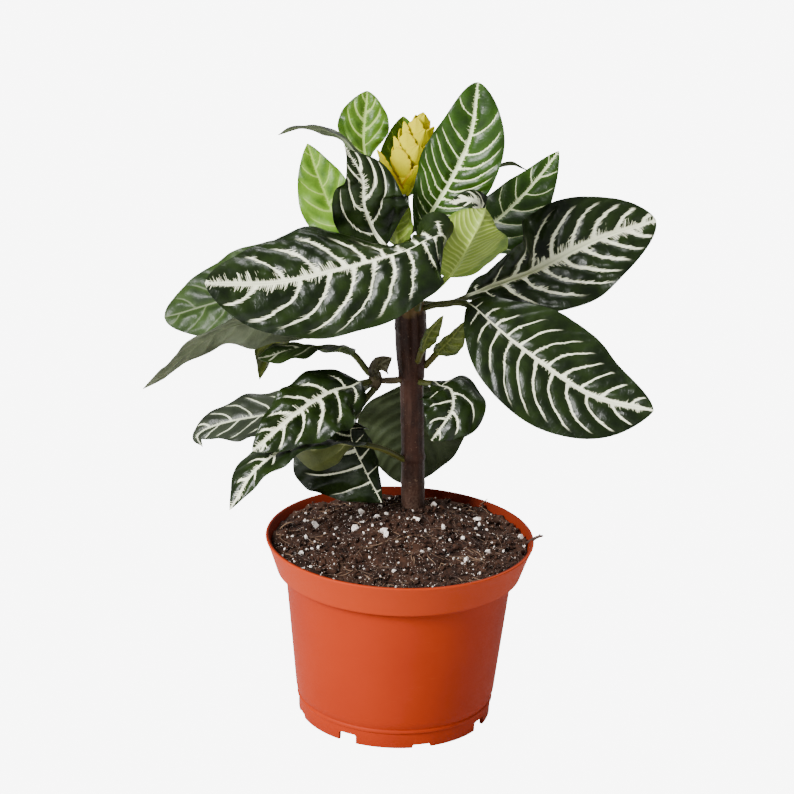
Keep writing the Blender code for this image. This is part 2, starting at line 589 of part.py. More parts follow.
def make_leaf(name, leaf):
    bm = bmesh.new()
    wide = leaf["width"] >= WIDE_LEAF
    rows, columns = (WIDE_ROWS, WIDE_COLUMNS) if wide else (SMALL_ROWS, SMALL_COLUMNS)
    add_sheet_faces(bm, *leaf_grids(leaf, rows, columns))
    bmesh.ops.recalc_face_normals(bm, faces=bm.faces)
    return add_object(name, bm, leaf.get("colour", DARK_GREEN), 0.35)


def spike_frame():
    """The spike's base, its axis and two directions square to it."""
    base = np.array(SPIKE_BASE)
    axis = np.array(SPIKE_TIP) - base
    length = float(np.linalg.norm(axis))
    axis = axis / length
    right = unit(np.cross([0.0, 1.0, 0.0], axis))
    return base, axis, length, right, np.cross(axis, right)


def bract_grids(number):
    """One pointed, cupped bract that leans out from the spike's axis, on a spiral."""
    base, axis, _, right, back = spike_frame()
    climb = number / (BRACTS - 1)
    turn = math.radians(BRACT_START + BRACT_TURN * number)
    out = right * math.cos(turn) + back * math.sin(turn)
    foot_up = BRACT_FOOT_LOW + (BRACT_FOOT_TOP - BRACT_FOOT_LOW) * climb
    tip_up = BRACT_TIP_LOW + (BRACT_TIP_TOP - BRACT_TIP_LOW) * climb
    foot = base + axis * foot_up + out * BRACT_FOOT_RADIUS
    tip = base + axis * tip_up + out * np.interp(climb, *zip(*BRACT_REACH))
    ahead = unit(tip - foot)
    away = unit(out - ahead * (out @ ahead))
    side = np.cross(ahead, away)
    size = 1.0 - BRACT_NARROWER * climb
    upper = np.zeros((len(BRACT_OUTLINE), BRACT_COLUMNS, 3))
    lower = np.zeros((len(BRACT_OUTLINE), BRACT_COLUMNS, 3))
    for i, (share, wide) in enumerate(BRACT_OUTLINE):
        half = size * BRACT_WIDTH / 2 * wide
        bow = BRACT_BOW * math.sin(math.pi * share)
        for j, across in enumerate(np.linspace(-1, 1, BRACT_COLUMNS)):
            cup = -BRACT_CUP * half * across * across
            point = foot + (tip - foot) * share + side * (half * across)
            upper[i, j] = point + away * (bow + cup)
            lower[i, j] = point + away * (bow + cup - BRACT_THICKNESS)
    return upper, lower


def make_flower_spike():
    """A tapered core with a spiral of overlapping bracts, fused into one solid."""
    base, axis, length, right, back = spike_frame()
    bm = bmesh.new()
    rings = []
    for i, radius in enumerate(CORE_RADII):
        centre = base + axis * (length * CORE_LENGTH * i / (len(CORE_RADII) - 1))
        ring = []
        for k in range(CORE_SIDES):
            turn = 2 * math.pi * k / CORE_SIDES
            point = centre + right * radius * math.cos(turn) + back * radius * math.sin(turn)
            if i == 0:
                point[2] = SPIKE_BASE[2]
            ring.append(bm.verts.new(point))
        rings.append(ring)
    bridge_rings(bm, rings)
    bmesh.ops.recalc_face_normals(bm, faces=bm.faces)
    spike = add_object("flower_spike", bm, YELLOW, 0.5)
    bracts = bpy.data.collections.new("bracts")
    bpy.context.scene.collection.children.link(bracts)
    for number in range(BRACTS):
        bm = bmesh.new()
        add_sheet_faces(bm, *bract_grids(number))
        bmesh.ops.recalc_face_normals(bm, faces=bm.faces)
        bract = add_object("bract", bm, YELLOW, 0.5)
        bpy.context.scene.collection.objects.unlink(bract)
        bracts.objects.link(bract)
    modifier = spike.modifiers.new("fuse_bracts", "BOOLEAN")
    modifier.operation = "UNION"
    modifier.solver = "EXACT"
    modifier.operand_type = "COLLECTION"
    modifier.collection = bracts
    bpy.context.view_layer.objects.active = spike
    bpy.ops.object.modifier_apply(modifier=modifier.name)
    for bract in list(bracts.objects):
        bpy.data.objects.remove(bract, do_unlink=True)
    bpy.data.collections.remove(bracts)
    return spike


def main():
    clear_scene()
    make_pot()
    make_soil()
    make_stem()
    for name, leaf in LEAVES.items():
        make_leaf(name, leaf)
    make_flower_spike()


main()
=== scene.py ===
# %% [markdown]
# # A potted zebra plant
#
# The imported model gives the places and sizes: a pot, its soil, a stem, twenty-seven leaves and
# a flower spike. Each of them is made again here in finer form, around the same middle lines,
# and gets a procedural material. Sizes in this file are in millimetres until a mesh is placed,
# because a leaf or a pot wall is easier to judge in them.

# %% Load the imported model
import math

import bpy
import numpy as np
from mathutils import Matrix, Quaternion, Vector, noise


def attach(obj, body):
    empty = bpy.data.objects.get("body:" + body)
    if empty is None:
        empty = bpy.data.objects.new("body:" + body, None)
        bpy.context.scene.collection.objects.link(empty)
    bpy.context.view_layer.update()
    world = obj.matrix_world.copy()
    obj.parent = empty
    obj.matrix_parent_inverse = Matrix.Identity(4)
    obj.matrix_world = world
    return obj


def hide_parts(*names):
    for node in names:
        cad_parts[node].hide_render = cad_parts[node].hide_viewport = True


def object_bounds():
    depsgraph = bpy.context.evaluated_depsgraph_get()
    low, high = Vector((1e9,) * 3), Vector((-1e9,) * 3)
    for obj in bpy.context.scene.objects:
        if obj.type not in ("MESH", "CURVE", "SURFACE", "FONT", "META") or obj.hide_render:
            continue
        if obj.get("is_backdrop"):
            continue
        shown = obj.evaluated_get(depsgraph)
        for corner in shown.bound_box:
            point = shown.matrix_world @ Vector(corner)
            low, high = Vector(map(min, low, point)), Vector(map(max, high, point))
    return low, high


MM = 0.001
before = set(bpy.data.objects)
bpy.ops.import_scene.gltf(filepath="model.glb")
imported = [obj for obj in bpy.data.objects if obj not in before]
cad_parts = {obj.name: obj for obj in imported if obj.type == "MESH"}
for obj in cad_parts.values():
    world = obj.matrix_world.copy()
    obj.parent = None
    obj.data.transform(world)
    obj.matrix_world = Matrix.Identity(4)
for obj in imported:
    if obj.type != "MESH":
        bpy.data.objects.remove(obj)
CAD_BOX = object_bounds()
print("packed nodes:", len(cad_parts))

# %% [markdown]
# ## Working on one piece at a time
#
# An operator works on all that is selected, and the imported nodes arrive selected. So each
# piece is started by clearing the selection. A finished piece rides on the plant's one body,
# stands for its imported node, and keeps its place in its mesh.

# %% Helpers for selecting, modifying and finishing a piece
def deselect():
    bpy.ops.object.select_all(action="DESELECT")


def only(piece):
    deselect()
    piece.select_set(True)
    bpy.context.view_layer.objects.active = piece


def started(name):
    """Names the piece that was just made."""
    piece = bpy.context.object
    piece.name = piece.data.name = name
    return piece


def placed(name, data):
    """A piece made of this mesh or curve."""
    piece = bpy.data.objects.new(name, data)
    bpy.context.scene.collection.objects.link(piece)
    return piece


def modified(piece, kind, **settings):
    """Adds a modifier, sets it and applies it."""
    only(piece)
    modifier = piece.modifiers.new(kind.lower(), kind)
    for name, value in settings.items():
        setattr(modifier, name, value)
    bpy.ops.object.modifier_apply(modifier=modifier.name)
    return piece


def editing(piece):
    """Goes into edit mode with the whole piece selected."""
    only(piece)
    bpy.ops.object.mode_set(mode="EDIT")
    bpy.ops.mesh.select_all(action="SELECT")


def resized(piece, size, centre=(0, 0, 0)):
    editing(piece)
    bpy.ops.transform.resize(value=size, center_override=centre)
    bpy.ops.object.mode_set(mode="OBJECT")


def points_of(piece):
    """The piece's vertices in millimetres."""
    flat = np.zeros(3 * len(piece.data.vertices))
    piece.data.vertices.foreach_get("co", flat)
    return flat.reshape(-1, 3) / MM


def move_points(piece, points):
    piece.data.vertices.foreach_set("co", (points * MM).ravel())
    piece.data.update()


def smooth(piece, angle=50.0):
    only(piece)
    bpy.ops.object.shade_smooth_by_angle(angle=math.radians(angle))


def lay_map(piece, label, values):
    """Lays a map on the piece, from a pair of values for each point."""
    corners = np.zeros(len(piece.data.loops), int)
    piece.data.loops.foreach_get("vertex_index", corners)
    piece.data.uv_layers.new(name=label).data.foreach_set("uv", values[corners].ravel())


def finished(piece, slot, *materials, stands_for=None):
    """Gives the piece its materials, its body and the node that it stands for."""
    only(piece)
    bpy.ops.object.transform_apply()
    piece.data.materials.clear()
    for material in materials:
        piece.data.materials.append(material)
    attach(piece, "root")
    if stands_for:
        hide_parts(stands_for)
    print(f"{piece.name}: {len(piece.data.polygons)} faces")


# %% Helpers that draw a piece up from a disc
def disc(name, sides, radius=1.0, level=0.0):
    """A filled disc in edit mode, selected as a whole."""
    deselect()
    bpy.ops.mesh.primitive_circle_add(vertices=sides, radius=radius * MM, fill_type="NGON",
                                      location=(0, 0, level * MM))
    piece = started(name)
    editing(piece)
    return piece


def extrude(rise):
    """Draws the selected faces or edges up by so many millimetres."""
    bpy.ops.mesh.extrude_region_move(TRANSFORM_OT_translate={"value": (0, 0, rise * MM)})


def closed(piece):
    """Turns all faces outwards and leaves edit mode."""
    bpy.ops.mesh.select_all(action="SELECT")
    bpy.ops.mesh.normals_make_consistent(inside=False)
    bpy.ops.object.mode_set(mode="OBJECT")
    bpy.ops.object.transform_apply()


# %% [markdown]
# ## Building materials from small steps
#
# Every material is a chain of small steps: measure a distance, bend it with noise, turn it
# into a mask, mix two colours by it. A recipe below is a node tree with one method for each
# kind of step, so that the materials further down read as a list of what happens.

# %% A recipe: a node tree that grows by one step at a time
class Recipe:
    """A node tree; each step returns what it puts out."""

    def __init__(self, tree):
        self.tree = tree

    def feed(self, socket, value):
        """Links an output to the socket, or sets the socket's own value."""
        if isinstance(value, bpy.types.NodeSocket):
            self.tree.links.new(value, socket)
        elif isinstance(value, tuple) and len(value) == 3 and len(socket.default_value) == 4:
            socket.default_value = (*value, 1.0)
        else:
            socket.default_value = value

    def step(self, kind, inputs=(), **settings):
        """Adds a node, sets it, feeds its inputs by name or number, and returns its outputs."""
        node = self.tree.nodes.new("ShaderNode" + kind)
        for name, value in settings.items():
            setattr(node, name, value)
        for name, value in dict(inputs).items():
            self.feed(node.inputs[name], value)
        return node.outputs

    def work(self, operation, *values):
        return self.step("Math", enumerate(values), operation=operation)[0]

    def times(self, first, *others):
        for value in others:
            first = self.work("MULTIPLY", first, value)
        return first

    def plus(self, first, second):
        return self.work("ADD", first, second)

    def less(self, first, second):
        return self.work("SUBTRACT", first, second)

    def ramp(self, value, low, high, start=0.0, end=1.0):
        """A soft step: start below low, end above high."""
        return self.step("MapRange", enumerate((value, low, high, start, end)),
                         interpolation_type="SMOOTHSTEP")[0]

    def fade(self, value, low, high):
        return self.ramp(value, low, high, 1.0, 0.0)

    def mixed(self, share, first, second):
        return self.step("Mix", {0: share, 6: first, 7: second}, data_type="RGBA")[2]

    def split(self, vector):
        return self.step("SeparateXYZ", {0: vector})

    def joined(self, x, y, z=0.0):
        return self.step("CombineXYZ", enumerate((x, y, z)))[0]

    def stretched(self, vector, rise):
        """The place, with its height counted so many times."""
        return self.step("Mapping", {"Vector": vector, "Scale": (1.0, 1.0, rise)})[0]

    def cloud(self, vector, scale, detail=2.0, roughness=0.5):
        return self.step("TexNoise", {"Vector": vector, "Scale": scale, "Detail": detail, "Roughness": roughness})[0]

    def uv(self, name):
        return self.step("UVMap", uv_map=name)[0]

    def group(self, recipe, **values):
        """Places a group, with its values by name."""
        return self.step("Group", {name.replace("_", " "): value for name, value in values.items()},
                         node_tree=recipe.tree)


def new_group(name, vectors, numbers, masks):
    """A group's recipe, what it is given and what it puts out."""
    group = bpy.data.node_groups.new(name, "ShaderNodeTree")
    for labels, way, kind in ((vectors, "INPUT", "Vector"), (numbers, "INPUT", "Float"), (masks, "OUTPUT", "Float")):
        for label in labels:
            group.interface.new_socket(name=label, in_out=way, socket_type="NodeSocket" + kind)
    return Recipe(group), group.nodes.new("NodeGroupInput").outputs, group.nodes.new("NodeGroupOutput").inputs


# %% [markdown]
# ## A shared effect: mottling
#
# Plastic, bark and leaf all vary a little in tone at two sizes, and none of them is evenly
# smooth. One node group makes that once. It takes a place and two sizes, and puts out a broad
# mask and a fine one, which each material uses with its own colours.

# %% Build the mottling group
mottling, given, puts_out = new_group("mottling", ["Place"], ["Broad Scale", "Fine Scale"], ["Broad", "Fine"])
for label, detail, roughness in (("Broad", 3.0, 0.5), ("Fine", 4.0, 0.6)):
    spots = mottling.cloud(given["Place"], given[f"{label} Scale"], detail, roughness)
    mottling.feed(puts_out[label], mottling.ramp(spots, 0.3, 0.7))
print("group:", mottling.tree.name)

# %% A recipe for a whole material, which can start with its mottling
class Paint(Recipe):
    """A material: plain numbers on its shader's own sockets, and colours laid over each other."""

    def __init__(self, name, mottle=None, **numbers):
        self.material = bpy.data.materials.new(name)
        self.material.use_nodes = True
        super().__init__(self.material.node_tree)
        self.shader = self.tree.nodes["Principled BSDF"]
        for socket, value in numbers.items():
            self.shader.inputs[socket.replace("_", " ")].default_value = value
        self.place = self.step("TexCoord")["Object"]
        if mottle:
            self.broad, self.fine = self.group(
                mottling, Place=self.place, Broad_Scale=mottle[0], Fine_Scale=mottle[1])

    def start(self, first, second, share):
        """The first colour, with the second one where the share is 1."""
        self.colour = self.mixed(share, first, second)

    def over(self, colour, mask, strength=None):
        """Lays another colour on where the mask is, at some strength."""
        share = mask if strength is None else self.times(mask, strength)
        self.colour = self.mixed(share, self.colour, colour)

    def done(self, height, strength, distance, roughness=None):
        """Connects the colour, a bump of so many millimetres and a roughness."""
        bump = self.step("Bump", {"Strength": strength, "Distance": distance * MM, "Height": height})[0]
        self.feed(self.shader.inputs["Base Color"], self.colour)
        self.feed(self.shader.inputs["Normal"], bump)
        if roughness is not None:
            self.feed(self.shader.inputs["Roughness"], roughness)
        return self.material


# %% [markdown]
# ## Camera
#
# The photograph looks slightly down on the pot through a long lens, and leans a little to the
# right. A long lens from far away keeps the ellipse of the rim and the foot as flat as they
# are there. The camera is aimed with a tracking rotation and then rolled about its own axis.

# %% Aim the camera
CAMERA_AIM = Vector((-0.0043, 0.0, 0.193))
CAMERA_DISTANCE = 1.5
CAMERA_RISE = math.radians(19.5)
CAMERA_ROLL = math.radians(1.9)
CAMERA_LENS = 120.0

camera_way = Vector((0.0, -math.cos(CAMERA_RISE), math.sin(CAMERA_RISE)))
bpy.ops.object.camera_add(location=CAMERA_AIM + CAMERA_DISTANCE * camera_way)
camera = bpy.context.object
camera.data.lens = CAMERA_LENS
camera.data.sensor_width = 36.0
camera.rotation_mode = "QUATERNION"
camera.rotation_quaternion = (-camera_way).to_track_quat("-Z", "Y") @ Quaternion((0, 0, 1), CAMERA_ROLL)
bpy.context.scene.camera = camera
print("camera at", [round(value, 3) for value in camera.location])

# %% [markdown]
# ## Floor and light
#
# The plant was photographed in a bright white studio. A broad key lamp in front, above and to
# the left draws the pale sheen on the puckered leaves, one above and behind picks out the
# leaves' edges, and a weak one from the right fills the shadows. The floor and the surroundings
# are seen as plain white, but shine back on the plant only as pale grey card would, because a
# white room all round would wash out the pot's red and the leaves' dark green.

# %% Lay the floor
FLOOR_SIZE, FLOOR_GREY = 14.0, 0.66
SURROUNDINGS = 0.4
BACKDROP = 8.0
bpy.ops.mesh.primitive_plane_add(size=FLOOR_SIZE, location=(0, 0, 0))
floor = started("floor")
card = Paint("studio floor", Base_Color=(FLOOR_GREY, FLOOR_GREY, FLOOR_GREY, 1.0), Roughness=0.9)
seen = card.step("LightPath")["Is Camera Ray"]
glow = card.step("Emission", {"Strength": BACKDROP})[0]
look = card.step("MixShader", {0: seen, 1: card.shader.outputs[0], 2: glow})[0]
card.feed(card.tree.nodes["Material Output"].inputs["Surface"], look)
floor.data.materials.append(card.material)
floor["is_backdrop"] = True

# %% Hang the lamps
# A lamp's place, size and power.
LAMPS = {
    "key": ((-1.6, -1.5, 1.5), 1.0, 170.0),
    "overhead_back": ((0.2, 0.9, 1.6), 0.9, 24.0),
    "right_fill": ((1.5, -1.3, 0.9), 1.2, 1.0),
}
for name, (place, size, power) in LAMPS.items():
    bpy.ops.object.light_add(type="AREA", location=place)
    light = bpy.context.object
    light.name = name
    light.data.shape = "SQUARE"
    light.data.size = size
    light.data.energy = power
    light.rotation_mode = "QUATERNION"
    light.rotation_quaternion = (CAMERA_AIM - light.location).to_track_quat("-Z", "Y")

world = bpy.data.worlds.new("studio")
bpy.context.scene.world = world
world.use_nodes = True
around = Recipe(world.node_tree)
seen = around.step("LightPath")["Is Camera Ray"]
sky = around.tree.nodes["Background"].inputs
around.feed(sky["Color"], (1.0, 1.0, 1.0))
around.feed(sky["Strength"], around.ramp(seen, 0.0, 1.0, SURROUNDINGS, BACKDROP))
print("lamps:", ", ".join(LAMPS))

# %% [markdown]
# ## The pot
#
# A nursery pot is moulded from thin plastic: a tapered wall, a tall outward lip, a fine ridge
# above the foot, and notches under the foot that let water out. It could be spun from a
# drawn profile. Here a disc is drawn up step by step instead, each step one extrusion and one
# change of width, because that is how the shape is read from the outside in. The notches and
# drain holes are cut afterwards.

# %% Draw the pot up from a disc
POT_SIDES = 160
LIP_RADIUS = 71.0
FOOT_RADIUS = 56.4
# The wall's section as radius and height, from under the floor, up the outside and down the inside.
POT_OUTSIDE = [
    (11.0, 0.0), (11.9, 5.9), (12.6, 6.5), (53.0, 6.5), (53.8, 5.8), (54.0, 0.5), (54.3, 0.0), (55.9, 0.0),
    (56.2, 0.5), (FOOT_RADIUS, 9.1), (57.1, 9.5), (57.3, 9.9), (57.3, 10.8), (57.1, 11.2), (56.7, 11.6),
    (57.0, 12.6), (57.7, 13.9), (58.2, 16.7), (60.0, 34.0), (61.9, 52.0), (63.8, 70.0), (65.5, 85.6),
    (65.9, 87.2), (66.6, 88.3), (68.3, 88.8), (70.2, 88.9), (70.8, 89.2), (LIP_RADIUS, 89.8), (73.4, 97.0),
    (75.6, 103.4), (77.2, 107.0), (77.5, 107.8), (77.3, 108.4), (76.6, 108.7), (75.9, 108.6), (75.4, 108.0),
]
POT_INSIDE = [
    (73.0, 100.0), (69.4, 90.2), (68.2, 89.2), (64.6, 86.6), (64.0, 84.0), (56.6, 14.3), (53.6, 8.6), (53.0, 8.3),
]

section = POT_OUTSIDE + POT_INSIDE
pot = disc("pot_shell", POT_SIDES, *section[0])
for before, after in zip(section, section[1:]):
    extrude(after[1] - before[1])
    scale = after[0] / before[0]
    bpy.ops.transform.resize(value=(scale, scale, 1.0), center_override=(0, 0, after[1] * MM))
closed(pot)
print("pot shell:", len(pot.data.polygons), "faces")

# %% Cut the notches and the drain holes
NOTCHES, NOTCH_TURN = 8, -118.0
NOTCH_LENGTH, NOTCH_WIDTH, NOTCH_DEPTHS, NOTCH_ROUNDING = 10, 11.0, (5.5, 2.0), 1.3
DRAINS, DRAIN_TURN, DRAIN_PLACE = 6, 10.5, 34
DRAIN_SIDES, DRAIN_RADIUS, DRAIN_DEPTH, DRAIN_LEVEL = 28, 4, 6, 7.4


def spread(count, start, radius):
    """Turns and places evenly round the pot, from a start in degrees."""
    for number in range(count):
        turn = math.radians(start + 360.0 * number / count)
        yield turn, radius * MM * math.cos(turn), radius * MM * math.sin(turn)


def cut_out(piece, cutter):
    """Takes the cutter's shape out of the piece and deletes the cutter."""
    modified(piece, "BOOLEAN", operation="DIFFERENCE", solver="EXACT", object=cutter)
    bpy.data.objects.remove(cutter, do_unlink=True)


for number, (turn, x, y) in enumerate(spread(NOTCHES, NOTCH_TURN, FOOT_RADIUS)):
    deselect()
    bpy.ops.mesh.primitive_cube_add(size=1.0)
    notch = started("notch")
    resized(notch, (NOTCH_LENGTH * MM, NOTCH_WIDTH * MM, 2 * NOTCH_DEPTHS[number % 2] * MM))
    modified(notch, "BEVEL", width=NOTCH_ROUNDING * MM, segments=3, limit_method="NONE")
    notch.location = (x, y, 0.0)
    notch.rotation_euler = (0.0, 0.0, turn)
    bpy.context.view_layer.update()
    cut_out(pot, notch)

for _, x, y in spread(DRAINS, DRAIN_TURN, DRAIN_PLACE):
    deselect()
    bpy.ops.mesh.primitive_cylinder_add(vertices=DRAIN_SIDES, radius=DRAIN_RADIUS * MM, depth=DRAIN_DEPTH * MM,
                                        location=(x, y, DRAIN_LEVEL * MM))
    cut_out(pot, started("drain"))
print("pot after cutting:", len(pot.data.polygons), "faces")

# %% [markdown]
# ### Terracotta-coloured plastic
#
# The plastic is dyed through, so its colour is even, with only a faint cloudiness and fine
# rubbing marks along the wall. The gloss is low and varies a little with the same marks. The
# thick lip is painted a shade lighter, as painted light, and its inside is painted dark, as
# painted shade within the rim: that face is told from the outer one by how far it lies within
# the lip's slanting line.

# %% Colour the pot
LIP_SLANT, LIP_LEVEL = 0.3605, 0.0898
plastic = Paint("terracotta plastic", (14.0, 900.0), IOR=1.46, Specular_IOR_Level=0.08)
x, y, height = plastic.split(plastic.place)
plastic.start((0.335, 0.028, 0.005), (0.3, 0.024, 0.0045), plastic.broad)
rubs = plastic.cloud(plastic.stretched(plastic.place, 7.0), 60.0, 5.0, 0.7)
plastic.over((0.42, 0.06, 0.018), plastic.ramp(rubs, 0.62, 0.72), 0.16)
# Painted light: the lip is painted a shade lighter, standing in for the lamps' light on it.
plastic.over((0.42, 0.044, 0.009), plastic.ramp(height, 0.0885, 0.0905), 0.7)
# Painted shade: the inside face of the lip is painted dark brown, standing in for the shade within the rim.
radius = plastic.work("SQRT", plastic.plus(plastic.times(x, x), plastic.times(y, y)))
lip_line = plastic.plus(plastic.times(height, LIP_SLANT), LIP_RADIUS * MM - LIP_SLANT * LIP_LEVEL)
inside = plastic.ramp(plastic.less(lip_line, radius), 0.0007, 0.0014)
plastic.over((0.085, 0.009, 0.003), plastic.times(inside, plastic.ramp(height, 0.086, 0.09)), 0.85)

smooth(pot, 35.0)
finished(pot, "pot", plastic.done(plastic.fine, 0.12, 0.12, plastic.ramp(plastic.fine, 0.0, 1.0, 0.48, 0.58)),
         stands_for="pot")

# %% [markdown]
# ## The soil
#
# The compost is a shallow mound of peat, lumpy at the size of a finger tip and crumbly below
# that, strewn with white grains of perlite, fibres and bits of twig. A flat disc inset again
# and again gives an even net of faces, which is then lifted by noise of several sizes. Loose
# crumbs are modelled once, and copied by the hundred into one mesh.

# %% Inset a disc into a fine net
SOIL_SIDES = 220
SOIL_RADIUS = 73.6
SOIL_STEP = 1.15

soil = disc("soil_bed", SOIL_SIDES, SOIL_RADIUS)
for ring in range(int(SOIL_RADIUS / SOIL_STEP) - 1):
    bpy.ops.mesh.inset(thickness=SOIL_STEP * MM)
bpy.ops.mesh.poke()
bpy.ops.object.mode_set(mode="OBJECT")
print("soil net:", len(soil.data.polygons), "faces")

# %% Lift the net into lumps
SOIL_EDGE, SOIL_PEAK, MOUND_REACH = 102.6, 118.0, 72.0
LUMP_SIZE, LUMP_HEIGHT = 11.0, 3.2
SOIL_SKIRT, SOIL_UNDERSIDE, UNDERSIDE_SHARE = -16, 84, 0.85
STEM_FOOT, STEM_CLEAR = np.array([7.0, 24.0]), 7.3


def smoothstep(value):
    value = np.clip(value, 0.0, 1.0)
    return value * value * (3.0 - 2.0 * value)


def soil_level(x, y):
    """The mound's height with its lumps, highest at the stem and banked up at the rim."""
    away = Vector((x - STEM_FOOT[0], y - STEM_FOOT[1]))
    distance = away.length
    way = away.normalized() if distance > 1e-6 else Vector((1.0, 0.0))
    across = STEM_FOOT[0] * way.x + STEM_FOOT[1] * way.y
    reach = -across + math.sqrt(across ** 2 - STEM_FOOT @ STEM_FOOT + MOUND_REACH ** 2)
    share = min(1.0, max(0.0, (distance - STEM_CLEAR) / (reach - STEM_CLEAR)))
    lump = LUMP_HEIGHT * noise.noise(Vector((x, y, 0.0)) / LUMP_SIZE) * min(1.0, 6.0 * share)
    banked = 1.8 * smoothstep((share - 0.86) / 0.12)
    return SOIL_EDGE + (SOIL_PEAK - SOIL_EDGE) * (1 - share) ** 1.25 + lump + banked


def crumble(x, y):
    """Finer roughness: crumbs of a few millimetres and of one."""
    coarse = noise.noise(Vector((x, y, 7.0)) / 3.6)
    fine = noise.noise(Vector((x, y, 3.0)) / 1.5)
    return 1.5 * coarse + 0.7 * fine - 0.4


net = points_of(soil)
for point in net:
    point[2] = soil_level(point[0], point[1]) + crumble(point[0], point[1])
move_points(soil, net)

bpy.ops.object.mode_set(mode="EDIT")
bpy.ops.mesh.select_all(action="DESELECT")
bpy.ops.mesh.select_mode(type="EDGE")
bpy.ops.mesh.select_non_manifold()
extrude(SOIL_SKIRT)
bpy.ops.transform.resize(value=(UNDERSIDE_SHARE, UNDERSIDE_SHARE, 0.0), center_override=(0, 0, SOIL_UNDERSIDE * MM))
bpy.ops.mesh.edge_face_add()
closed(soil)
smooth(soil, 180.0)
print("soil from", round(net[:, 2].min(), 1), "to", round(net[:, 2].max(), 1), "mm")

# %% [markdown]
# ### Crumbs, perlite and fibres
#
# A crumb is a small ball pushed out of shape by noise. A grain of perlite is the same but
# blockier. Each is modelled once and then set down many times, turned and sized at random from
# a fixed seed, so the soil comes out the same on every run. All the copies of one kind share a
# mesh, which keeps the number of objects small.

# %% A crumb, and a way to strew it
SEED = 41
STEM_MARGIN, POT_REACH = 9.0, 72.5
rng = np.random.default_rng(SEED)


def knobbly_ball(name, size, roughness, seed):
    """A ball of about 1 mm, pushed in and out by noise."""
    deselect()
    bpy.ops.mesh.primitive_ico_sphere_add(subdivisions=1, radius=MM)
    ball = started(name)
    points = points_of(ball)
    for point in points:
        point *= 1.0 + roughness * noise.noise(Vector(point) * size + Vector((seed, 0.0, 0.0)))
    move_points(ball, points)
    return ball


def strewn(name, master, places, sizes, flatten=0.8):
    """One mesh of many turned and scaled copies of a master, which is then deleted."""
    shape = points_of(master)
    corners = np.array([list(face.vertices) for face in master.data.polygons])
    points, faces = [], []
    for number, (place, size) in enumerate(zip(places, sizes)):
        turn = np.array(Quaternion(rng.normal(size=4)).normalized().to_matrix())
        stretch = size * np.array([rng.uniform(0.8, 1.3), rng.uniform(0.7, 1.1), flatten])
        points.append((shape * stretch) @ turn.T + place)
        faces.append(corners + number * len(shape))
    mesh = bpy.data.meshes.new(name)
    mesh.from_pydata(np.concatenate(points) * MM, [], np.concatenate(faces).tolist())
    bpy.data.objects.remove(master, do_unlink=True)
    return placed(name, mesh)


def soil_spots(count):
    """Random spots on the soil, inside the pot and away from the stem."""
    spots = []
    while len(spots) < count:
        x, y = rng.uniform(-POT_REACH, POT_REACH, 2)
        if math.hypot(x, y) < POT_REACH and math.hypot(x - STEM_FOOT[0], y - STEM_FOOT[1]) > STEM_MARGIN:
            spots.append((x, y, soil_level(x, y)))
    return np.array(spots)


# %% Strew the crumbs
CRUMBS = 1500
crumb_spots = soil_spots(CRUMBS)
crumb_sizes = 0.55 + 1.5 * rng.random(CRUMBS) ** 3
crumb_spots[:, 2] += 0.2 + 0.25 * crumb_sizes
crumbs = strewn("soil_crumbs", knobbly_ball("crumb", 1.2, 0.55, 3.0), crumb_spots, crumb_sizes)
smooth(crumbs, 60.0)
print("crumbs:", CRUMBS)

# %% Set down the perlite
# The larger grains lie where they are seen from the front: x, y and size.
PERLITE_SEEN = [
    (-23, 25, 1.9), (-12, 26, 1.7), (19, 27, 1.7), (45, 30, 1.9), (-14, 13, 1.6), (-8, 13, 1.3), (-26, 2, 2.1),
    (9, 6, 1.8), (-10, -4, 2.2), (-8, -9, 1.7), (51, -12, 2.0), (38, -30, 1.8), (70, 10, 1.9), (-56, -22, 1.9),
    (-50, 14, 1.9), (25, 1, 1.3), (27, -38, 1.1), (-3, -50, 1.2), (-54, -1, 1.4), (13, -26, 1.0), (54, -2, 1.3),
    (36, -8, 1.2), (46, 18, 1.1), (36, 19, 1.1), (-56, 27, 1.2),
]
PERLITE_SMALL = 300
large = np.array([(x, y, soil_level(x, y)) for x, y, _ in PERLITE_SEEN])
grains = np.concatenate([large, soil_spots(PERLITE_SMALL)]) + (0, 0, 0.7)
grain_sizes = np.concatenate([[1.2 * size for _, _, size in PERLITE_SEEN],
                              0.3 + 0.75 * rng.random(PERLITE_SMALL) ** 2])
perlite = strewn("soil_perlite", knobbly_ball("grain", 1.6, 0.7, 9.0), grains, grain_sizes, 0.9)
smooth(perlite, 40.0)
print("perlite grains:", len(grains))

# %% [markdown]
# Fibres and twigs are the one thing in the soil that is long and thin. Each is a short curve
# with a round section, turned into a mesh. Most lie flat at random; a few that can be told
# apart from the front are set down one by one, among them a twig that leans out over the rim.

# %% Lay the fibres and twigs
# Points in millimetres, and the thickness at the middle.
TWIGS = [
    ([(70.6, 7, 102.5), (74.5, 3, 105), (77, -2, 109.8), (79.8, -4, 112.4), (82.2, -5, 113)], 2.3),
    ([(79, -3.6, 111.8), (80.6, -4.6, 114)], 1.1),
    ([(46, 60, 104), (49.5, 56, 108), (51.5, 53.5, 111.5)], 0.9),
    ([(-21, -47, 104), (-19, -52, 105.5), (-15, -57, 104.5)], 1.0),
    ([(-22, -45, 104.5), (-16, -46, 105.8), (-11, -46.5, 105)], 0.8),
    ([(30, -46, 104), (33.5, -52, 106.2), (37, -58, 104.5)], 0.9),
    ([(-70, 14, 104), (-67, 17, 107), (-63, 19, 106.5)], 1.0),
    ([(14, 12, 113.5), (26, 6, 111), (38, 3, 108.5)], 0.8),
    ([(36, -2, 107.5), (44, -6, 107.4), (52, -4, 106.2)], 0.7),
]
FIBRES, FIBRE_REACH = 360, 71.5


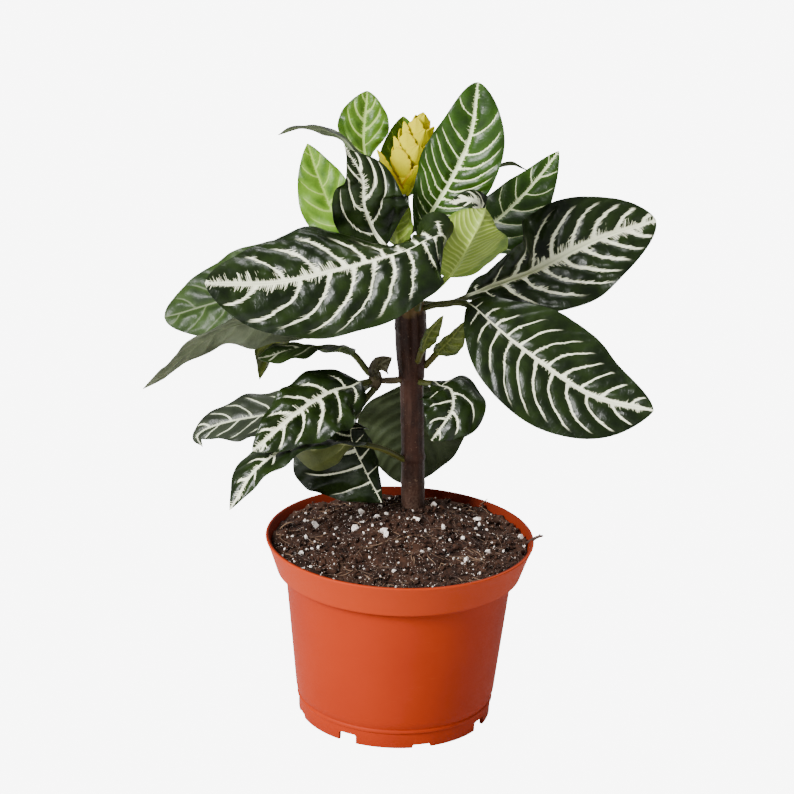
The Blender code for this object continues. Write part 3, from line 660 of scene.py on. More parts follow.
def tube(name, route, thickness, sides=6):
    """A thin round strand through the points, tapered at its ends, as a mesh."""
    curve = bpy.data.curves.new(name, "CURVE")
    curve.dimensions = "3D"
    curve.resolution_u = 3
    curve.bevel_depth = thickness / 2 * MM
    curve.bevel_resolution = max(0, sides // 4 - 1)
    curve.use_fill_caps = True
    spline = curve.splines.new("NURBS")
    spline.points.add(len(route) - 1)
    spline.order_u = min(4, len(route))
    spline.use_endpoint_u = True
    for number, point in enumerate(route):
        share = number / (len(route) - 1)
        spline.points[number].co = (*(Vector(point) * MM), 1.0)
        spline.points[number].radius = 0.55 + 0.45 * math.sin(math.pi * share)
    only(placed(name, curve))
    bpy.ops.object.convert(target="MESH")
    return bpy.context.object


def all_joined(name, pieces):
    only(pieces[0])
    for piece in pieces:
        piece.select_set(True)
    bpy.ops.object.join()
    return started(name)


strands = [tube("twig", route, thickness, 8) for route, thickness in TWIGS]
for x, y, _ in soil_spots(FIBRES):
    heading, length = rng.uniform(0, 2 * math.pi), rng.uniform(3.0, 11.0)
    route = []
    for share in (-0.5, -0.2, 0.15, 0.5):
        side = x + length * share * math.cos(heading), y + length * share * math.sin(heading)
        spot = np.array(side) + rng.normal(scale=0.09 * length, size=2)
        if np.hypot(*spot) > FIBRE_REACH:
            spot *= FIBRE_REACH / np.hypot(*spot)
        route.append((*spot, soil_level(*spot) + rng.uniform(0.2, 1.5)))
    strands.append(tube("fibre", route, rng.uniform(0.25, 0.6)))
fibres = all_joined("soil_fibres", strands)
smooth(fibres, 60.0)
print("fibres and twigs:", FIBRES + len(TWIGS))

# %% [markdown]
# ### Peat, perlite and fibre
#
# Wet peat is nearly black in its hollows and red-brown on its crumbs. Noise of two sizes mixes
# the browns, and a sharp third one scatters pale specks of perlite dust. Perlite is off-white
# with grey hollows. The fibres run from tan to dark brown by where they lie.

# %% Colour the soil
peat = Paint("peat", (70.0, 700.0), Roughness=0.95, Specular_IOR_Level=0.25)
peat.start((0.0012, 0.0005, 0.0002), (0.038, 0.014, 0.007), peat.fine)
peat.over((0.062, 0.026, 0.013), peat.broad, 0.5)
peat.over((0.7, 0.6, 0.52), peat.ramp(peat.cloud(peat.place, 1100.0, 1.0), 0.69, 0.72), 0.8)
peat_brown = peat.done(peat.cloud(peat.place, 1300.0, 4.0, 0.7), 0.7, 0.6)
finished(soil, "soil", peat_brown, stands_for="soil")
finished(crumbs, "soil", peat_brown)

grain = Paint("perlite", Roughness=0.85)
grain.start((0.55, 0.45, 0.39), (0.95, 0.9, 0.84), grain.ramp(grain.cloud(grain.place, 900.0, 3.0), 0.35, 0.6))
finished(perlite, "soil", grain.done(grain.cloud(grain.place, 1500.0, 3.0), 0.5, 0.3))

fibre = Paint("plant fibre", Roughness=0.8)
fibre.start((0.035, 0.015, 0.009), (0.2, 0.12, 0.07), fibre.ramp(fibre.cloud(fibre.place, 45.0), 0.4, 0.62))
finished(fibres, "soil", fibre.done(fibre.cloud(fibre.place, 2500.0, 2.0), 0.4, 0.2))

# %% [markdown]
# ## The stem
#
# The stem is woody and dark maroon, with faint rings where old leaves fell, a swollen upper
# length with a groove down its front, and a thin green shoot above that carries the flower.
# It is drawn up from a disc like the pot, and each step also moves sideways to follow the
# stem's lean. A side shoot with a bud holds the lower leaves.

# %% Draw up the stem
# Height, sideways place, depth and radius.
STEM = [
    (70, 7, 24, 6.9), (118, 7, 24, 6.9), (146, 6, 24, 6.7), (149, 5.9, 24, 7.1), (152, 5.8, 24, 6.6),
    (192, 3.9, 24, 6.7), (199, 3.5, 24, 7.4), (207, 3.2, 24, 8.4), (216, 2.8, 24, 9), (235, 1.8, 24, 9.1),
    (240, 1.5, 24, 8.6), (244, 1.2, 24.3, 6.6), (249, 0.9, 25.4, 4.8), (256, 0.2, 27.5, 3.8),
    (280, -3, 37, 3.4), (299, -4.7, 45, 3.2),
]
STEM_SIDES = 56
SCARS, SCAR_RISE, SCAR_WIDTH = (148.5, 198.0, 171.0, 132.0, 227.0), 0.5, 1.1
GROOVE_TURN, GROOVE_DEPTH, GROOVE_WIDTH = math.radians(-84.0), 1.5, 0.03


def stem_at(height):
    """The stem's sideways place, depth and radius at a height."""
    heights, *columns = zip(*STEM)
    return [float(np.interp(height, heights, column)) for column in columns]


def stem_section(turns, height):
    """The stem's radius round one ring: its scars, its ridges and its groove."""
    scars = sum(SCAR_RISE * math.exp(-((height - ring) / SCAR_WIDTH) ** 2) for ring in SCARS)
    groove = GROOVE_DEPTH * np.exp(-((1 - np.cos(turns - GROOVE_TURN)) / GROOVE_WIDTH))
    groove = groove * smoothstep((height - 203.0) / 8) * smoothstep((246.0 - height) / 8)
    ridges = 0.12 * np.sin(5 * turns + height / 19.0) + 0.09 * np.sin(11 * turns + 1.3)
    woody = smoothstep((250.0 - height) / 10.0)
    return stem_at(height)[2] + (scars + ridges - groove) * woody


stem_heights = np.concatenate([np.arange(70.0, 240.0, 1.7), np.arange(240.0, 299.1, 1.5)])
stem = disc("stem_bark", STEM_SIDES, level=stem_heights[0])
for low, high in zip(stem_heights, stem_heights[1:]):
    extrude(high - low)
closed(stem)

rod = points_of(stem)
for height in np.unique(rod[:, 2].round(2)):
    ring = np.abs(rod[:, 2] - height) < 0.3
    turns = np.arctan2(rod[ring, 1], rod[ring, 0])
    place, depth, _ = stem_at(height)
    reach = stem_section(turns, height)
    rod[ring, 0] = place + reach * np.cos(turns)
    rod[ring, 1] = depth + reach * np.sin(turns)
move_points(stem, rod)
smooth(stem)
print("stem rings:", len(stem_heights))

# %% Add the side shoot and its bud
BUD_PLACE = (-17.0, 22.0, 195.0)
BUD_RADIUS, BUD_HEIGHT = 4.0, 13.0
SHOOT = [(4, 22, 198), (-2, 22, 195.9), (-7, 22, 195), (-12, 22, 194.9), (-17, 22, 195)]
SHOOT_THICKNESS = 4.4

shoot = tube("side_shoot", SHOOT, SHOOT_THICKNESS, 16)
middle = [value * MM for value in BUD_PLACE]
deselect()
bpy.ops.mesh.primitive_uv_sphere_add(segments=28, ring_count=18, radius=BUD_RADIUS * MM, location=middle)
bud = started("side_bud")
resized(bud, (1.0, 1.0, BUD_HEIGHT / (2 * BUD_RADIUS)), middle)
bpy.ops.object.transform_apply()
shape = points_of(bud)
for point in shape:
    offset = point - BUD_PLACE
    point += offset * 0.14 * noise.noise(Vector(offset) * 0.5)
move_points(bud, shape)
side_shoot = all_joined("stem_side_shoot", [shoot, bud])
smooth(side_shoot)

# %% [markdown]
# ### Bark that turns green
#
# The bark is nearly smooth, maroon-brown with long pale streaks and small corky dots. The
# young top is green. One mask by height blends the two, wavy with noise so that no line shows.
# The side shoot is younger than the stem, so its bark is still olive.

# %% Colour the stem
bark = Paint("maroon bark", (60.0, 800.0), IOR=1.45, Specular_IOR_Level=0.15)
height = bark.split(bark.place)[2]
wavy_height = bark.plus(height, bark.times(bark.cloud(bark.place, 120.0), 0.012))
streaks = bark.ramp(bark.cloud(bark.stretched(bark.place, 0.12), 420.0, 3.0), 0.45, 0.75)
scar = bark.times(bark.ramp(wavy_height, 0.2405, 0.2445), bark.fade(wavy_height, 0.249, 0.254))
green = bark.mixed(bark.broad, (0.05, 0.075, 0.012), (0.09, 0.125, 0.02))
bark.start((0.017, 0.007, 0.0045), (0.042, 0.017, 0.011), bark.broad)
bark.over((0.085, 0.042, 0.027), streaks, 0.35)
bark.over((0.14, 0.09, 0.06), bark.ramp(bark.cloud(bark.place, 650.0, 1.0), 0.68, 0.74), 0.5)
bark.over((0.115, 0.075, 0.055), bark.times(bark.fade(height, 0.115, 0.15), bark.fine), 0.5)
bark.over((0.16, 0.1, 0.035), scar, 0.75)
bark.over(green, bark.ramp(wavy_height, 0.2505, 0.262))
finished(stem, "stem", bark.done(bark.plus(streaks, bark.fine), 0.35, 0.25, bark.ramp(bark.fine, 0.0, 1.0, 0.38, 0.55)),
         stands_for="stem")

young = Paint("olive young bark", (110.0, 900.0), Roughness=0.5, Specular_IOR_Level=0.2)
young.start((0.05, 0.036, 0.016), (0.1, 0.085, 0.035), young.broad)
young.over((0.035, 0.018, 0.01), young.fine, 0.4)
finished(side_shoot, "stem", young.done(young.fine, 0.4, 0.3))

# %% [markdown]
# ## The leaves
#
# A leaf of this plant is a long pointed oval on a short winged stalk. It is folded a little
# along its midrib, its halves curl down, its margin waves, and between the sunken side veins
# the blade swells up in long pillows that catch the light. Sculpting twenty-seven of them by
# hand would be slow and hard to keep away from each other. So each leaf is described by a few
# numbers: the way of its midrib, where its upper side faces, and how it folds, curls and
# waves. A flat grid with a thickness is then bent to that description, point by point.

# %% The twenty-seven leaves in numbers
# height and turn: where it grows on the stem, or on the bud, and its way from there in degrees.
# width: the blade's full width. stalk: the bare share of the length. route: points of the
# midrib after the root. faces: azimuth and rise of the upper side, evenly along the leaf.
# widest: where the blade is widest. base and tip: above 1 tapers, below 1 is blunt.
# share, fold, curl and cup: right and left halves; cup adds a fold that fades out
# between its last two values. wave and waves: height and count of the margin's waves.
USUAL_LEAF = dict(bud=False, base=0.95, tip=0.7, widest=0.45, share=(1, 1), fold=(8, 8), curl=(-10, -10),
                  cup=(0, 0, 0.2, 0.5), wave=1.5, waves=4)
LEAVES = {}


def shaped(name, height, turn, width, stalk, route, faces, **unusual):
    LEAVES["leaf_" + name] = dict(USUAL_LEAF, height=height, turn=turn, width=width, stalk=stalk, route=route,
                                  faces=faces, **unusual)


shaped("front_left", 240, 300, 72, 0.29, [(8, 8, 257), (15, -2, 277), (18.5, -14, 292), (9, -21, 293.5),
       (-3, -24, 287.5), (-35, -27, 277), (-72, -33, 269), (-110.5, -40, 269)],
       [(300, 20), (300, 25), (288, 36), (280, 38), (275, 34)], base=0.5, tip=0.6, widest=0.48, share=(0.92, 1.0),
       fold=(0, -5), curl=(-30, -15), cup=(-66, 0, 0.16, 0.62), wave=2.0)
shaped("lower_right", 240, -20, 68, 0.2,
       [(20, 14, 245), (36, 4, 247), (63, -12, 230), (102, -26, 208), (138, -34, 202)],
       [(270, 60), (270, 35), (270, 25)], base=0.7, widest=0.48, share=(0.95, 0.9), fold=(6, 6), curl=(-14, -14),
       wave=1.2, waves=3)
shaped("right", 240, 35, 61, 0.22, [(25, 44, 236), (47, 58, 242), (73, 66, 251), (110, 74, 269), (143.8, 82, 279)],
       [(270, 60), (270, 36), (270, 28)], tip=0.62, widest=0.52, share=(1.08, 1.0), fold=(12, 12),
       cup=(0, 62, 0.32, 0.46), wave=2.5, waves=3)
shaped("top_right", 264, 60, 46, 0.13, [(6, 34, 269), (9, 33, 287), (22, 33, 312), (32, 34, 338), (35, 36, 368)],
       [(262, 30), (262, 25), (262, 20)], tip=0.6, widest=0.52, share=(0.98, 0.92), fold=(8, 18), curl=(-8, -8))
shaped("back_right", 254, 10, 44, 0.2, [(20, 46, 260), (35, 78, 266), (51, 96, 272), (69, 110, 287), (87, 120, 309)],
       [(262, 40), (262, 35), (262, 30)], tip=0.8, share=(1.12, 0.72), fold=(10, 10), curl=(-8, -8))
shaped("back_thin", 279, 40, 24, 0.3, [(14, 52, 290), (38, 60, 309), (56, 62, 315.5), (66.5, 60, 312.3)],
       [(90, 66), (90, 68), (90, 69)], tip=0.9, fold=(4, 4), wave=0.8)
shaped("under_right", 245, 0, 60, 0.32,
       [(16, 19, 253), (25, 9, 267.5), (34, -3, 288.7), (39, -4, 300), (41, 5, 303.5)],
       [(100, 20), (110, 20), (110, 20), (100, -30)], widest=0.34, share=(0.86, 1.0), fold=(10, 10), curl=(10, 10),
       wave=1.0)
shaped("curl_right", 262, 0, 20, 0.4, [(18, 24, 273), (34, 18, 291), (39, 12, 302), (33, 8, 308), (21, 7, 306)],
       [(90, 60), (90, 80), (270, 60), (270, 50)], tip=0.8, fold=(5, 5), wave=0.5)
shaped("left_young", 271, 150, 32, 0.35, [(-25, 48, 264), (-43, 66, 278), (-54, 74, 300), (-61, 78, 319)],
       [(262, 30), (262, 20)], tip=0.8, fold=(12, 12), wave=1.0)
shaped("top_young", 285, 125, 29, 0.5, [(-19, 48, 304), (-28, 56, 324), (-27, 62, 355)], [(265, 20), (265, 20)],
       widest=0.52, fold=(12, 12))
shaped("thin_left", 289, 180, 26, 0.15, [(-23, 26, 318), (-41, 32, 337), (-64, 35, 340), (-76, 37, 334)],
       [(90, 60), (90, 66), (90, 68)], tip=0.9, fold=(0, 0), curl=(-20, -20), wave=1.0)
shaped("front_curly", 262, 240, 42, 0.25,
       [(-10, 18, 272), (-20, 13, 286), (-26, 8, 303), (-27.5, 8, 319), (-38, 11, 335.5)],
       [(250, 40), (270, 20), (300, 10)], tip=1.3, widest=0.4, share=(1.12, 0.88), fold=(-5, -5), curl=(16, 16))
shaped("behind_flower", 272, 75, 30, 0.4, [(-3, 58, 294), (-4, 70, 314), (-6, 74, 338)], [(268, 20), (268, 20)],
       share=(0.8, 1), fold=(12, 12), curl=(-8, -8), wave=1.0)
shaped("front_young", 273, 235, 18, 0.15, [(-7, 22, 279), (-8, 22, 289), (-6, 22, 298), (-4, 22, 306)],
       [(80, 10), (80, 10)], tip=0.8, fold=(10, 10), curl=(0, 0), wave=0.6)
shaped("back_left", 240, 145, 57, 0.3, [(-30, 58, 238), (-63, 74, 236), (-105, 84, 222), (-145, 92, 206)],
       [(262, 40), (262, 30), (240, 30)], tip=0.55, fold=(6, 6), curl=(-14, -14), wave=2.0)
shaped("long_left", 236, 195, 42, 0.2, [(-25, 10, 240), (-60, 6, 237), (-104, 0, 231), (-147, -14, 198)],
       [(95, 68), (95, 66), (95, 58)], tip=0.9, fold=(-5, 0), curl=(-10, -5), cup=(-32, 0, 0.35, 0.75))
shaped("hidden_left", 233, 170, 34, 0.25, [(-44, 36, 222), (-75, 42, 210), (-85, 46, 185)],
       [(95, 60), (120, 50), (150, 10)], tip=0.9, fold=(10, 10))
shaped("shade_left", 199, 178, 38, 0.25, [(-34, 13, 216), (-60, 3, 220), (-83, -3, 214.5)],
       [(95, 60), (120, 70), (220, 50)], bud=True, fold=(5, 5), curl=(-20, -20))
shaped("low_front", 195, 215, 46, 0.12, [(-30, 6, 197), (-42, -2, 196), (-60, -16, 188), (-84, -30, 169)],
       [(280, 55), (265, 50), (262, 40)], bud=True, widest=0.4, share=(0.78, 1.12), curl=(-20, -20), wave=2.5)
shaped("low_far_left", 192, 152, 37, 0.3,
       [(-32, 36, 180), (-67, 48, 166), (-106, 56, 154), (-122, 58, 145), (-119, 58, 137)],
       [(262, 70), (262, 68), (220, 40)], bud=True, tip=1.0, curl=(-15, -15))
shaped("low_down_left", 148, 215, 42, 0.25,
       [(-14, 6, 160), (-37, -6, 168), (-58, -16, 171), (-82, -28, 158), (-96, -38, 136)],
       [(95, 60), (100, 75), (200, 55), (240, 20)], tip=0.9, widest=0.4, share=(1.2, 0.75), fold=(0, 0),
       curl=(-14, -14), cup=(-50, 0, 0.2, 0.55))
shaped("soil_left", 191, 262, 60, 0.3, [(-26, 14, 180), (-30, 11, 165), (-21, 7, 145), (-11, 4, 127)],
       [(250, 20), (250, 20)], bud=True, tip=0.8, widest=0.38, share=(1.3, 0.45), fold=(5, -60), curl=(-10, 0))
shaped("low_back", 200, 95, 64, 0.35, [(2, 46, 198), (5, 58, 180), (5, 62, 150), (1, 60, 117)],
       [(90, 60), (90, 20), (90, 10)], tip=0.6, curl=(-14, -14), wave=2.0)
shaped("low_right", 196, -45, 37, 0.2, [(18, 8, 199), (26, 0, 199), (27, -10, 190), (16, -18, 174)],
       [(90, 80), (285, 50), (285, 20)], tip=0.8, widest=0.5, fold=(5, 5), curl=(-20, -20), wave=2.0)
shaped("axil_large", 204, -10, 16, 0.3, [(17, 18, 213), (25, 11, 225), (32, 5, 237)], [(300, 30), (300, 20)], tip=0.9,
       fold=(30, 30), curl=(0, 0), wave=0.5)
shaped("axil_small", 209, -60, 10, 0.3, [(9, 9, 218), (13, 3, 231), (20, -3, 243)], [(300, 30), (300, 20)], tip=0.9,
       fold=(30, 30), curl=(0, 0), wave=0.5)
shaped("bud_small", 198, 280, 14, 0.2, [(-17, 14, 204), (-14, 11, 209), (-8, 10, 213)], [(300, 20), (300, 20)],
       bud=True, tip=0.9, fold=(30, 30), curl=(0, 0), wave=0.5)
print("leaves:", len(LEAVES))

# %% A smooth way through points
def smooth_route(points, steps=24):
    """A smooth curve through the points, with its running length."""
    points = np.array(points, float)
    ends = [2 * points[0] - points[1], *points, 2 * points[-1] - points[-2]]
    curve = []
    for p0, p1, p2, p3 in zip(ends, ends[1:], ends[2:], ends[3:]):
        for t in np.linspace(0, 1, steps, endpoint=False):
            square = (2 * p0 - 5 * p1 + 4 * p2 - p3) * t * t
            cube = (3 * p1 - p0 - 3 * p2 + p3) * t ** 3
            curve.append(0.5 * (2 * p1 + (p2 - p0) * t + square + cube))
    curve.append(points[-1])
    curve = np.array(curve)
    lengths = np.linalg.norm(np.diff(curve, axis=0), axis=1)
    return curve, np.concatenate([[0.0], np.cumsum(lengths)])


def along_route(route, share):
    """The points at these shares of the route's length."""
    curve, run = route
    wanted = np.asarray(share) * run[-1]
    return np.stack([np.interp(wanted, run, curve[:, axis]) for axis in range(3)], -1)


def direction(azimuth, rise):
    turn, lift = math.radians(azimuth), math.radians(rise)
    return np.array([math.cos(lift) * math.cos(turn), math.cos(lift) * math.sin(turn), math.sin(lift)])


# %% Where a leaf starts, and how wide it is
STALK_WIDTH, STALK_HALF_HEIGHT, STALK_SUNK, STALK_ROUND = 3.6, 2.2, 0.4, 0.8
BLADE_THICKNESS, BLADE_START, KEEL_DEPTH, KEEL_WIDTH = 0.5, 0.12, 1.3, 1.4


def unit(vectors):
    return vectors / np.linalg.norm(vectors, axis=-1, keepdims=True)


def leaf_root(leaf):
    """Where the stalk meets the stem or the bud, a little inside its surface."""
    out = direction(leaf["turn"], 0.0)
    if leaf["bud"]:
        place, depth = BUD_PLACE[:2]
        aside = max(0.0, abs(leaf["height"] - BUD_PLACE[2]) - STALK_WIDTH / 2)
        radius = BUD_RADIUS * math.sqrt(1 - (2 * aside / BUD_HEIGHT) ** 2)
    else:
        place, depth, radius = stem_at(leaf["height"])
        for height in (leaf["height"] - STALK_HALF_HEIGHT, leaf["height"] + STALK_HALF_HEIGHT):
            x, y, near = stem_at(height)
            radius = max(radius, near + np.array([x - place, y - depth, 0.0]) @ out)
    return np.array([place, depth, leaf["height"]]) + out * (radius - STALK_SUNK)


def blade_half(leaf, share):
    """Half of the blade's width at shares of its length."""
    power = math.log(0.5) / math.log(leaf["widest"])
    taper = leaf["base"] * (1 - share) + leaf["tip"] * share
    swell = np.sin(np.pi * np.clip(share, 1e-6, 1 - 1e-6) ** power) ** taper
    return leaf["width"] / 2 * swell


def leaf_rows(leaf, stalk_rows, blade_rows):
    """The rows as shares of the whole length, and as shares of the blade's."""
    even = np.linspace(0, 1, blade_rows)
    blade = leaf["stalk"] + (1 - leaf["stalk"]) * (0.75 * even + 0.125 * (1 - np.cos(np.pi * even)))
    rows = np.concatenate([np.linspace(0, leaf["stalk"], stalk_rows, endpoint=False), blade])
    return rows, (rows - leaf["stalk"]) / (1 - leaf["stalk"])


# %% [markdown]
# ### Veins: one description for the shape and for the colour
#
# A side vein leaves the midrib, swings towards the tip and fades before the margin. If every
# point of the blade gets a number that counts veins from base to tip, less an amount that
# grows away from the midrib, then each vein is where that number is whole. The pillows rise
# where it is halfway between two veins. The same count is worked out again in the material, so
# the white bands lie exactly in the creases.

# %% The veins of each leaf in numbers
# look: its colours. veins: pairs of side veins. width: of a side vein. rib: of the midrib at
# the base, halfway and near the tip. ragged: length of the pale spikes on both. puff: height of
# the pillows. crowd: above 1, the veins stand closer at the base. lean: how far along a vein
# goes for each millimetre sideways, at the base and at the tip. reach: how far out the veins
# go, right and left of the midrib. faint: how clearly they stand out. under: the underside's
# look, where it has another one. All sizes are in millimetres.
PATTERNS = {}


def veined(name, look, veins, width, rib, ragged, puff, crowd=1.2, lean=(0.4, 1.4), reach=(0.9, 0.9), faint=1.0,
           under=None):
    PATTERNS["leaf_" + name] = dict(look=look, veins=float(veins), width=width, rib=rib, ragged=ragged, puff=puff,
                                    crowd=crowd, lean=lean, reach=reach, faint=faint, under=under or look)


veined("front_left", "dark", 10, 1.1, (0.4, 1.8, 2.4), 1.5, 2.4, crowd=1.95, lean=(-0.2, 1.8), reach=(0.82, 0.92))
veined("lower_right", "dark", 11, 0.9, (0.6, 1.6, 2.4), 0.6, 1.2, crowd=1.45, lean=(0.2, 1.5), reach=(0.9, 0.76))
veined("right", "dark", 9, 1.4, (2.0, 3.8, 1.8), 1.5, 1.9, crowd=1.15, lean=(0.3, 1.7), reach=(0.92, 0.84))
veined("top_right", "green", 12, 0.46, (1.8, 1.5, 0.8), 0.6, 1.2, crowd=2.1, lean=(0.5, 1.3), reach=(0.95, 0.95))
veined("back_right", "green", 9, 0.5, (1.6, 1.2, 0.8), 0.5, 0.9, lean=(0.5, 1.3), reach=(0.95, 0.95))
veined("back_thin", "dull", 7, 0.7, (1.2, 1.0, 0.8), 0.2, 0.4, faint=0.2)
veined("under_right", "young", 15, 0.6, (1.2, 0.9, 0.6), 0.1, 0.6, crowd=1.1, lean=(0.3, 1.3), reach=(0.97, 0.97),
       faint=0.7)
veined("curl_right", "dark", 7, 1.4, (2.4, 2.6, 2.0), 0.9, 0.6)
veined("left_young", "young", 6, 0.65, (1.1, 0.8, 0.5), 0.3, 0.9, lean=(0.7, 1.5), faint=0.75)
veined("top_young", "spring", 4, 0.8, (1.3, 0.9, 0.5), 0.4, 0.9, lean=(0.8, 2.0), faint=0.75)
veined("thin_left", "grey", 8, 0.8, (1.4, 1.0, 0.8), 0.3, 0.6, faint=0.35)
veined("front_curly", "dark", 4, 0.7, (2.2, 1.0, 0.2), 0.9, 1.4, crowd=1.0, lean=(0.8, 3.6), reach=(0.97, 0.97))
veined("behind_flower", "young", 5, 0.7, (1.0, 0.9, 0.6), 0.2, 0.7, faint=0.8)
veined("front_young", "young", 7, 0.5, (0.7, 0.6, 0.5), 0.15, 0.4, faint=0.6)
veined("back_left", "dull", 8, 0.7, (1.1, 0.9, 0.7), 0.2, 1.6, faint=0.1)
veined("long_left", "faded", 9, 0.5, (1.2, 0.8, 0.6), 0.3, 0.9, faint=0.4, under="grey")
veined("hidden_left", "olive", 8, 0.7, (1.4, 1.0, 0.6), 0.2, 0.6, faint=0.6)
veined("shade_left", "dark", 3, 0.9, (0.6, 0.5, 0.4), 0.4, 0.9, faint=0.25)
veined("low_front", "dark", 6, 1.1, (0.8, 1.6, 1.6), 1.0, 1.7, crowd=1.15, lean=(0.3, 1.5), reach=(0.8, 0.85))
veined("low_far_left", "grey", 7, 0.75, (1.0, 0.9, 0.7), 0.4, 0.9, lean=(0.6, 1.8), faint=0.85)
veined("low_down_left", "dark", 7, 1.0, (1.0, 1.3, 1.2), 0.8, 1.0, reach=(0.6, 0.6), under="tan")
veined("soil_left", "dark", 5, 0.8, (0.9, 0.8, 0.6), 0.3, 1.0, lean=(-0.5, 0.1))
veined("low_back", "dull", 8, 0.7, (1.2, 0.9, 0.7), 0.2, 1.0, faint=0.08)
veined("low_right", "dark", 4, 0.6, (0.7, 0.8, 0.6), 0.5, 1.6, crowd=1.15, lean=(0.3, 1.5), reach=(0.8, 0.8))
veined("axil_large", "olive", 5, 0.4, (0.7, 0.6, 0.4), 0.1, 0.3, faint=0.6)
veined("axil_small", "olive", 5, 0.4, (0.6, 0.5, 0.4), 0.1, 0.2, faint=0.6)
veined("bud_small", "bronze", 5, 0.5, (0.7, 0.6, 0.5), 0.2, 0.3, faint=0.15)
# BEND: how far a vein curves. HALF_OFFSET: how far the left half's veins are out of step.
BEND, HALF_OFFSET = 0.6, 0.42
PILLOW_ROUND, PILLOW_SINK, PILLOW_FROM_RIB = 0.7, 0.35, 5.0
QUILT_HEIGHT, QUILT_SIZE = 0.5, 5.5
CREASE_DEPTH, CREASE_WIDTH = 0.6, 1.1


def vein_count(pattern, share, across, across_mm, length):
    """Counts the side veins from the base; whole on a vein, halfway between two."""
    low, high = pattern["lean"]
    swing = (low + (high - low) * share) * np.abs(across_mm) * np.abs(across) ** BEND / length
    passed = np.clip(share - swing, -0.5, 1.0)
    return pattern["veins"] * (1 - (1 - passed) ** pattern["crowd"]) + HALF_OFFSET * (across < 0)


def pillows(pattern, share, across, across_mm, length):
    """How far the blade stands out between its veins."""
    count = vein_count(pattern, share, across, across_mm, length)
    swell = np.sin(np.pi * np.abs(count - np.round(count))) ** PILLOW_ROUND
    near_rib = smoothstep(np.abs(across_mm) / PILLOW_FROM_RIB)
    near_edge = 1 - 0.75 * np.abs(across) ** 5
    ends = smoothstep(share / BLADE_START) * smoothstep((1 - share) / 0.1)
    crease = CREASE_DEPTH * np.exp(-(across_mm / CREASE_WIDTH) ** 2)
    spots = zip(share * length / QUILT_SIZE, across_mm / QUILT_SIZE)
    quilt = np.array([noise.noise((x, y, length)) for x, y in spots]) * near_rib
    return (pattern["puff"] * (swell * near_rib - PILLOW_SINK + QUILT_HEIGHT * quilt) * near_edge - crease) * ends


print("pillows on the front leaf rise", PATTERNS["leaf_front_left"]["puff"], "mm")

# %% Bend a flat sheet into a leaf
def leaf_frame(leaf, rows):
    """The midrib's points, with the directions sideways and out of the upper side."""
    route = smooth_route([leaf_root(leaf), *leaf["route"]])
    tangent = unit(along_route(route, np.clip(rows + 0.01, 0, 1)) - along_route(route, np.clip(rows - 0.01, 0, 1)))
    ways = np.array([direction(*face) for face in leaf["faces"]])
    knots = np.linspace(0, 1, len(ways))
    face = unit(np.stack([np.interp(rows, knots, ways[:, axis]) for axis in range(3)], -1))
    side = unit(np.cross(tangent, face))
    return along_route(route, rows), side, np.cross(side, tangent), route[1][-1]


def leaf_column(leaf, pattern, frame_of_leaf, share, across):
    """The upper and lower points of one line along the leaf."""
    middle, side, normal, _ = frame_of_leaf
    blade = smoothstep(share / BLADE_START)
    inside = np.clip(share, 0, 1)
    half = np.maximum(STALK_WIDTH / 2 * (1 - inside) ** 2 + blade_half(leaf, inside), 0.3)
    cup = leaf["cup"]
    fade = 1 - smoothstep((share - cup[2]) / (cup[3] - cup[2]))
    hand = 0 if across >= 0 else 1
    sign, out_share = math.copysign(1, across), abs(across)
    reach = half * (1 + (leaf["share"][hand] - 1) * blade)
    fold = (math.radians(leaf["fold"][hand]) + math.radians(cup[hand]) * fade) * blade
    curl = math.radians(leaf["curl"][hand]) * blade + 1e-6
    slope = fold + curl * out_share
    sideways = (np.sin(slope) - np.sin(fold)) / curl * reach * sign
    ripples = np.sin(2 * np.pi * (leaf["waves"] * share + 0.37 * hand))
    ripple = leaf["wave"] * out_share ** 2 * ripples * np.sin(np.pi * inside)
    lift = (np.cos(fold) - np.cos(slope)) / curl * reach + ripple
    round_off = STALK_WIDTH / 2 * STALK_ROUND * math.sqrt(1 - 0.85 * across * across) * (1 - blade)
    keel = KEEL_DEPTH * (1 - inside) * np.exp(-(out_share * reach / KEEL_WIDTH) ** 2) * blade
    away = normal * np.cos(slope)[:, None] - side * (np.sin(slope) * sign)[:, None]
    base = middle + side * sideways[:, None] + normal * lift[:, None]
    raised = pillows(pattern, share, across, across * reach, leaf["blade_length"])
    thickness = BLADE_THICKNESS * (1 - 0.3 * out_share ** 4)
    upper = base + away * (round_off + raised)[:, None]
    lower = base + away * (raised - thickness - keel - round_off)[:, None]
    return upper, lower, across * reach


def sheet(name, rows, columns):
    """A flat grid with a thickness; its underside has the second of two empty slots."""
    deselect()
    bpy.ops.mesh.primitive_grid_add(x_subdivisions=rows, y_subdivisions=columns, size=2.0)
    piece = started(name)
    for slot in range(2):
        piece.data.materials.append(None)
    return modified(piece, "SOLIDIFY", thickness=0.1, offset=-1.0, use_rim=True, material_offset=1)


